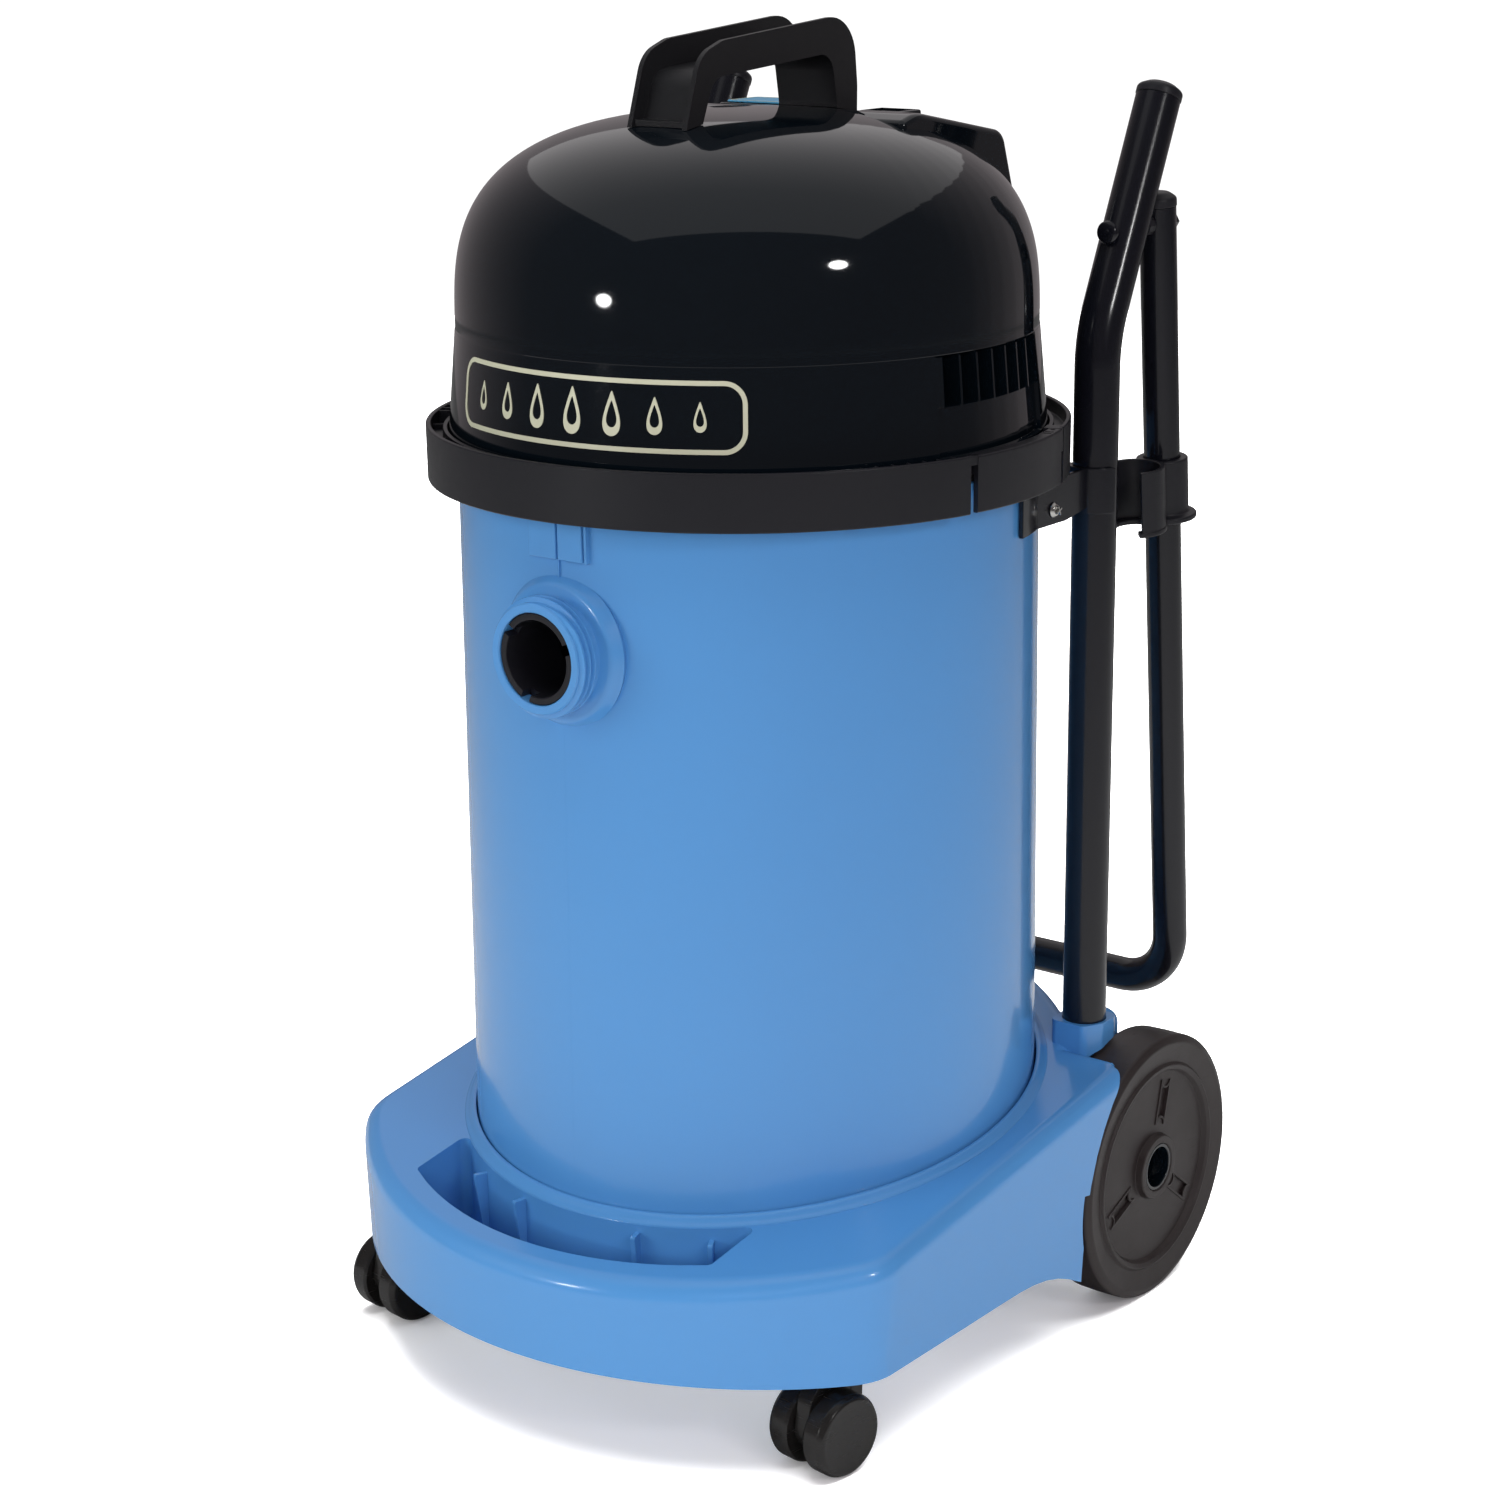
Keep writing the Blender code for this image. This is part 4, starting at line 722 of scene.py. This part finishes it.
def make_wheels():
    face = 0.0175
    line = rounded([(0.0150, face - 0.0185, 0), (0.0152, face - 0.0005, 0.0012),
                    (0.0204, face - 0.0005, 0.0010), (0.0212, face - 0.0052, 0.0006),
                    (0.0606, face - 0.0052, 0.0010), (0.0625, face - 0.0022, 0.0008),
                    (0.0655, face - 0.0008, 0.0010), (0.0672, face - 0.0028, 0.0010),
                    (0.0690, face - 0.0024, 0.0010), (0.0800, face - 0.0004, 0.0030),
                    (0.0848, face - 0.0026, 0.0026), (WHEEL_R, 0.0, 0.02),
                    (0.0846, -face + 0.0040, 0.0050), (0.0800, -face, 0.0030), (0.0140, -face, 0.001),
                    (AXLE_BORE, -face, 0.0004), (AXLE_BORE, -face + 0.014, 0.0),
                    (0.0148, -face + 0.014, 0.0)], 5)
    liner_line = rounded([(0.0128, 0.0, 0), (0.0128, face - 0.0010, 0.0006),
                          (0.0151, face - 0.0010, 0.0006), (0.0151, 0.0, 0)], 3)
    for name, way in SIDE.items():
        wheel = lathe("wheel", line, 192, "X")
        for turn in SPOKES:
            groove = prism("groove", spoke_outline(0.0042), 0.0, 0.0022)
            groove.data.transform(spoke_place(face - 0.0068, turn))
            carve(wheel, groove)
        soften(wheel, 0.0005, 2, 60)
        rims = []
        for turn in SPOKES:
            levels = ((0.0056, -0.0002), (0.0056, 0.0007), (0.0043, 0.0009), (0.0043, -0.0002))
            rows = [[(x, y, h) for x, y in spoke_outline(half)] for half, h in levels]
            rim = new_object("rim", grid(rows, wrap_columns=True))
            rim.data.transform(spoke_place(face - 0.0052, turn))
            rims.append(rim)
        wheel = merged(f"rear_wheel_{name}_look", [wheel] + rims)
        liner = lathe(f"wheel_liner_{name}", liner_line, 96, "X")
        if way < 0:
            turned(wheel, 180)
            turned(liner, 180)
        hub = Matrix.Translation((way * (0.1660 + face), WHEEL_Y, WHEEL_R))
        piece(wheel, WHEEL, f"rear_wheel_{name}", [f"rear_wheel_{name}"], move=hub)
        piece(liner, GLOSS, f"rear_wheel_{name}", move=hub)


def make_castors():
    turn = Matrix.Rotation(math.radians(-8), 4, "Z")
    radius, low, high = 0.0245, 0.0062, 0.0208      # of a small wheel: radius, and where its faces are
    outline = rounded([(0.0095, 0.0240, 0.003), (0.0115, 0.0548, 0.006), (-0.0300, 0.0548, 0.016),
                       (-0.0352, 0.0240, 0.012), (-0.0255, 0.0105, 0.006), (-0.0075, 0.0105, 0.006)], 8)
    rim_line = rounded([(-0.0005, 0.0240, 0), (0.0095, 0.0240, 0.003), (0.0112, 0.0540, 0.005),
                        (0.0012, 0.0540, 0.002)], 4)
    stem_line = rounded([(0, 0.0960, 0), (0.0048, 0.0960, 0.001), (0.0048, 0.0580, 0),
                         (0.0095, 0.0575, 0.0006), (0.0095, 0.0500, 0), (0, 0.0500, 0)], 3)
    wheel_line = rounded([(0.0027, low, 0), (0.0234, low, 0.0008), (radius, low + 0.0018, 0.001),
                          (radius, high - 0.0030, 0.0026), (0.0222, high + 0.0008, 0.0026),
                          (0.0190, high + 0.0004, 0.002), (0.0, high - 0.0002, 0.0)], 5)
    for name, way in SIDE.items():
        stand = Matrix.Translation((way * STEM_X, STEM_Y, 0)) @ turn
        shapes = [prism("body", outline, -0.0052, 0.0052, "YZ", 0.0008),
                  prism("rim", rim_line, -0.0056, 0.0056, "YZ", 0.0006),
                  lathe("stem", stem_line, 40, closed=False)]
        piece(merged(f"castor_housing_{name}_look", shapes), CASTOR, f"castor_{name}",
              [f"castor_housing_{name}"], move=stand)
        for place, start in (("inner", -way), ("outer", way)):
            cad = f"castor_wheel_{name}_{place}"
            wheel = lathe("wheel", wheel_line + [(0, low)], 96, "X", closed=False)
            if start < 0:
                turned(wheel, 180)
            piece(wheel, CASTOR, cad, [cad],
                  move=stand @ Matrix.Translation((0, -0.0160, radius)))
            wheel.name = f"{cad}_look"


# ---------------------------------------------------------------- tubes, hoop and fittings
TUBE_R, HOOP_R = 0.0134, 0.0110
KNEE_Z, TUBE_TOP, BOLT_Z = 0.6070, 0.7400, 0.6670
HOOP_TOP, HOOP_BAR = (0.1925, 0.6770), (0.2340, 0.1740)     # (y, z) of a leg's two ends


def hoop_y(z):
    """Where a leg of the hoop is at a height."""
    return HOOP_TOP[0] + (HOOP_BAR[0] - HOOP_TOP[0]) * (HOOP_TOP[1] - z) / (HOOP_TOP[1] - HOOP_BAR[1])


def cap(name, body, centre, direction, radius, plug, hides):
    rim, bore = radius + 0.0004, radius - 0.0042
    line = rounded([(0, 0.0095, 0), (radius * 0.62, 0.0085, 0.006), (rim, 0.0052, 0.003),
                    (rim, 0.0003, 0.0004), (bore, 0.0003, 0), (bore, -plug, 0.001), (0, -plug, 0)], 5)
    item = lathe(name, line, 40, closed=False)
    turn = Vector(direction).to_track_quat("Z", "Y").to_matrix().to_4x4()
    piece(item, SATIN, body, hides, move=Matrix.Translation(centre) @ turn)


def make_tubes():
    leg = hoop_y(BOLT_Z)
    front = TUBE_Y + (BOLT_Z - KNEE_Z) * math.tan(LEAN) - TUBE_R / math.cos(LEAN) - 0.0036
    bolt_line = rounded([(0, leg + 0.0172, 0), (0.0030, leg + 0.0172, 0.0008), (0.0030, front, 0),
                         (0.0068, front, 0.0003), (0.0068, front - 0.0030, 0.0022),
                         (0, front - 0.0048, 0)], 4)
    for name, way in SIDE.items():
        x = way * TUBE_X
        top = (x, TUBE_Y + (TUBE_TOP - KNEE_Z) * math.tan(LEAN), TUBE_TOP)
        path = bend([((x, TUBE_Y, 0.1750), 0), ((x, TUBE_Y, KNEE_Z), 0.080), (top, 0)], 14)
        piece(tube(f"push_tube_{name}_look", path, TUBE_R, 0.0015, 48), PAINT, "trolley",
              [f"push_tube_{name}"])
        cap(f"tube_cap_{name}_look", "trolley", top, (0, math.sin(LEAN), math.cos(LEAN)), TUBE_R, 0.012,
            [f"tube_cap_{name}"])
        cap(f"hoop_cap_{name}_look", "trolley", (x, *HOOP_TOP),
            (0, HOOP_TOP[0] - HOOP_BAR[0], HOOP_TOP[1] - HOOP_BAR[1]), HOOP_R, 0.006, [f"hoop_cap_{name}"])
        bolt = lathe("bolt", bolt_line, 32, "Y", (x, 0, BOLT_Z), closed=False)
        hexagon = [(x + 0.0058 * math.cos(math.tau * k / 6), BOLT_Z + 0.0058 * math.sin(math.tau * k / 6))
                   for k in range(6)]
        nut = prism("nut", hexagon, leg + 0.0120, leg + 0.0158, "XZ", 0.0004)
        piece(merged(f"hoop_bolt_{name}_look", [bolt, nut]), PAINT, "trolley",
              [f"hoop_bolt_{name}"])
    hoop = bend([((TUBE_X, *HOOP_TOP), 0), ((TUBE_X, *HOOP_BAR), 0.036), ((-TUBE_X, *HOOP_BAR), 0.036),
                 ((-TUBE_X, *HOOP_TOP), 0)], 16)
    piece(tube("support_hoop_look", hoop, HOOP_R, 0.0015, 44), PAINT, "trolley",
          ["support_hoop"])


def cross_screw(name, at, body, hides):
    line = rounded([(0, 0.0026, 0), (0.0032, 0.0022, 0.0014), (0.0046, 0.0004, 0.0006), (0.0046, 0, 0.0002),
                    (0.0019, 0, 0), (0.0019, -0.0075, 0), (0, -0.0075, 0)], 4)
    head = lathe("head", line, 40, closed=False)
    for turn in (25, 115):
        carve(head, turned(block("slot_cut", (-0.0028, -0.00045, 0.0012), (0.0028, 0.00045, 0.004)), turn))
    head.name = name
    piece(head, ZINC, body, hides, move=at)


def make_brackets():
    low, high = 0.5052, 0.5323
    for name, way in SIDE.items():
        line = rounded([(0.0590, low, 0.002), (0.0590, high, 0.002), (0.1150, high, 0.001),
                        (0.1150, low + 0.004, 0.001), (0.0900, low, 0.01)], 5)
        plate_item = prism("plate", line, *sorted((way * 0.1606, way * 0.1634)), "YZ", 0.0005)
        foot = [(way * x, y) for x, y in sector(0.1711, 0.1737, 101.0, 110.6, 8)]
        saddle = [(way * x, y) for x, y in arc(0.0161, -80, 80, 24, (TUBE_X, TUBE_Y))
                  + arc(0.0137, 80, -80, 24, (TUBE_X, TUBE_Y))]
        shapes = [plate_item, prism("foot", foot, low, high, bevel=0.0004),
                  prism("saddle", saddle, low, high, bevel=0.0005)]
        piece(merged(f"tube_bracket_{name}_look", shapes), PAINT, "trolley",
              [f"tube_bracket_{name}"])
        spin = AXES["X"] if way > 0 else Matrix.Rotation(math.pi, 4, "Z") @ AXES["X"]
        at = Matrix.Translation((way * 0.1638, 0.0760, 0.5140)) @ spin
        cross_screw(f"bracket_screw_{name}_look", at, "trolley", [f"bracket_screw_{name}"])


def make_wand_clip():
    lean = math.atan2(HOOP_BAR[0] - HOOP_TOP[0], HOOP_TOP[1] - HOOP_BAR[1])
    clip_z, half = 0.506, 0.0190
    collar_line = [(0.0113, half, 0.0004), (0.0158, half, 0.0012), (0.0158, 0.0045 - half, 0.0015),
                   (0.0205, 0.0032 - half, 0.0012), (0.0205, -half, 0.0008), (0.0113, -half, 0.0004)]
    collar = lathe("collar", rounded(collar_line, 4), 64)
    hook_at = (0, -0.0335)
    hook_line = arc(0.0190, 45, 315, 48, hook_at) + arc(0.0160, 315, 45, 48, hook_at)
    hook = prism("hook", hook_line, -half, half + 0.002, bevel=0.0007)
    floor_line = arc(0.0195, 40, 320, 48, hook_at) + arc(0.0120, 320, 40, 48, hook_at)
    floor_part = prism("floor", floor_line, -half, 0.003 - half, bevel=0.0006)
    at = Matrix.Translation((TUBE_X, hoop_y(clip_z), clip_z)) @ Matrix.Rotation(lean, 4, "X")
    piece(merged("wand_clip_look", [collar, hook, floor_part]), SATIN, "trolley",
          ["wand_clip"], move=at)


# ---------------------------------------------------------------- carried-over nodes
KEPT = {
    SATIN: ["inlet_baffle", "motor_plate", "float_cage", "switch_case", "cable_socket", "hoop_spacer_left",
            "hoop_spacer_right"],
    ZINC: ["rear_axle", "axle_clip_left", "axle_clip_right", "castor_axle_left", "castor_axle_right",
           "handle_screw_front", "handle_screw_rear", "latch_pin_left", "latch_pin_right"],
    RUBBER: ["rim_gasket", "motor_seal"],
    ALLOY: ["fan_case", "motor_frame", "rotor"],
    FOAM: ["exhaust_foam"],
    FLOAT: ["float_ball"],
}


def dress_kept():
    for look, names in KEPT.items():
        for name in names:
            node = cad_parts[name]
            node.data.materials.clear()
            node.data.materials.append(look)
            edge = node.modifiers.new("edge", "BEVEL")
            edge.width = 0.0003
            edge.segments = 2
            edge.limit_method = "ANGLE"
            edge.angle_limit = math.radians(50)
            node.modifiers.new("normals", "WEIGHTED_NORMAL").keep_sharp = True


# ---------------------------------------------------------------- studio
def lamp(name, at, aim, size, power, colour=(1, 1, 1), glossy=True, shape="RECTANGLE"):
    light = bpy.data.lights.new(name, "AREA")
    light.shape = shape
    light.size, light.size_y = size
    light.energy = power
    light.color = colour
    item = bpy.data.objects.new(name, light)
    item.location = at
    item.rotation_euler = (Vector(aim) - Vector(at)).to_track_quat("-Z", "Y").to_euler()
    item.visible_glossy = glossy
    scene.collection.objects.link(item)
    return item


def toward(azimuth, elevation, distance, centre=(0, 0, 0.62)):
    """The place at a distance from the dome, azimuth measured from the front towards +X."""
    az, el = math.radians(azimuth), math.radians(elevation)
    way = Vector((math.sin(az) * math.cos(el), -math.cos(az) * math.cos(el), math.sin(el)))
    return Vector(centre) + way * distance


def make_floor():
    """Bright paper to the camera, and a duller one to other rays, so that the black pieces stay dark. The
    paper's glow carries painted contact shadow near the pieces.
    """
    bm = bmesh.new()
    bmesh.ops.create_circle(bm, cap_ends=True, segments=96, radius=4.5)
    ground = new_object("studio_floor", bm)
    paper = bpy.data.materials.new("floor_paper")
    paper.use_nodes = True
    tree = paper.node_tree
    shader = tree.nodes["Principled BSDF"]
    shader.inputs["Roughness"].default_value = 0.9
    shader.inputs["Specular IOR Level"].default_value = 0.0
    shader.inputs["Emission Color"].default_value = (1, 1, 1, 1)
    fibre = add_node(tree, "TexNoise", Scale=55.0)
    tone = add_node(tree, "MapRange", To_Min=0.86, To_Max=0.90)
    spot = add_node(tree, "NewGeometry")
    reach = add_node(tree, "VectorMath", "LENGTH")
    glow = add_node(tree, "MapRange", From_Min=0.55, From_Max=1.9, To_Min=0.50, To_Max=1.1)
    # ambient occlusion darkens the paper's glow near the pieces: painted contact shadow under the castors,
    # wheels and base
    painted_contact_shade = add_node(tree, "AmbientOcclusion", Distance=0.10)
    glow_under_painted_shade = add_node(tree, "Math", "MULTIPLY")
    dull = add_node(tree, "BsdfDiffuse")
    near = add_node(tree, "MapRange", From_Min=0.75, From_Max=1.35, To_Max=0.15)
    seen = add_node(tree, "LightPath")
    bounce = add_node(tree, "MapRange", To_Min=0.18, To_Max=0.38)
    choose = add_node(tree, "MixShader")
    wire(tree, (fibre, "Fac", tone, "Value"), (tone, 0, shader, "Base Color"), (spot, "Position", reach, 0),
         (reach, "Value", glow, "Value"), (glow, 0, glow_under_painted_shade, 0), (painted_contact_shade, "AO", glow_under_painted_shade, 1),
         (glow_under_painted_shade, 0, shader, "Emission Strength"), (reach, "Value", near, "Value"), (near, 0, dull, "Color"),
         (seen, "Is Diffuse Ray", bounce, "Value"), (bounce, 0, near, "To Min"),
         (seen, "Is Camera Ray", choose, 0), (dull, 0, choose, 1), (shader, 0, choose, 2),
         (choose, 0, tree.nodes["Material Output"], "Surface"))
    ground.data.materials.append(paper)
    return ground


def make_world():
    """White to the camera; to everything else a dark front and a pale, slightly pink back."""
    world = bpy.data.worlds.new("studio")
    scene.world = world
    world.use_nodes = True
    tree = world.node_tree
    tree.nodes.clear()
    out = add_node(tree, "OutputWorld")
    seen = add_node(tree, "LightPath")
    white = add_node(tree, "Background", Color=(1, 1, 1, 1), Strength=1.1)
    room = add_node(tree, "Background", Color=(1.0, 0.90, 0.93, 1))
    way = add_node(tree, "TexCoord")
    dot = add_node(tree, "VectorMath", "DOT_PRODUCT")
    dot.inputs[1].default_value = (-0.61, 0.79, 0.0)
    shade = add_node(tree, "MapRange", From_Min=0.05, From_Max=0.90, To_Min=0.075, To_Max=0.24)
    choose = add_node(tree, "MixShader")
    wire(tree, (way, "Generated", dot, 0), (dot, "Value", shade, "Value"), (shade, 0, room, "Strength"),
         (seen, "Is Camera Ray", choose, 0), (room, 0, choose, 1), (white, 0, choose, 2), (choose, 0, out, 0))


def make_studio():
    ground = make_floor()
    make_world()
    wash = lamp("floor_wash", (0.3, 0.5, 3.0), (0.0, 0.1, 0), (3.2, 3.2), 390, glossy=False)
    only = bpy.data.collections.new("floor_only")
    only.objects.link(ground)
    wash.light_linking.receiver_collection = only
    height = 1.65
    away = Vector((-0.614, 0.789, 0))
    ceiling = lamp("ceiling", Vector((0, 0, 0.62 + height)) + away * 1.8, (0, 0, 0), (2 * height, 6.3), 20)
    ceiling.rotation_euler = (0, 0, math.radians(37.9))
    lamp("top_key", (0.1, -0.3, 2.4), (0, 0, 0.4), (1.5, 1.5), 17, glossy=False)
    lamp("fill_left", (-1.6, -2.2, 1.3), (0, 0, 0.4), (1.3, 1.5), 26, glossy=False)
    lamp("fill_right", (2.3, -1.4, 1.5), (0, 0, 0.4), (1.1, 1.4), 14, (1.0, 0.82, 0.94), glossy=False)
    lamp("fill_front", toward(30, 12, 3.2), (0, 0, 0.3), (1.6, 1.0), 20, glossy=False)
    lamp("strobe_left", toward(-17, 4, 3.0), (0, 0, 0.62), (0.34, 0.26), 6, shape="ELLIPSE")
    lamp("strobe_right", toward(74, 23, 3.0), (0, 0, 0.62), (0.38, 0.28), 8, shape="ELLIPSE")


def make_camera():
    az, el, roll = (math.radians(v) for v in (37.857, 16.019, -0.6385))
    back = Vector((math.sin(az) * math.cos(el), -math.cos(az) * math.cos(el), math.sin(el)))
    right = Vector((math.cos(az), math.sin(az), 0))
    up = back.cross(right)
    across = right * math.cos(roll) + up * math.sin(roll)
    above = up * math.cos(roll) - right * math.sin(roll)
    data = bpy.data.cameras.new("photo_camera")
    data.lens = 74.36
    data.sensor_width = 36
    item = bpy.data.objects.new("photo_camera", data)
    turn = Matrix((across, above, back)).transposed().to_4x4()
    item.matrix_world = Matrix.Translation(Vector((1.10306, -1.42111, 0.87656)) + SHIFT) @ turn
    scene.collection.objects.link(item)
    scene.camera = item


make_base()
make_drum()
make_ring()
make_dome()
make_decal()
make_handle()
make_wheels()
make_castors()
make_tubes()
make_brackets()
make_wand_clip()
dress_kept()
make_studio()
make_camera()
scene.view_settings.view_transform = "Standard"
scene.view_settings.look = "None"
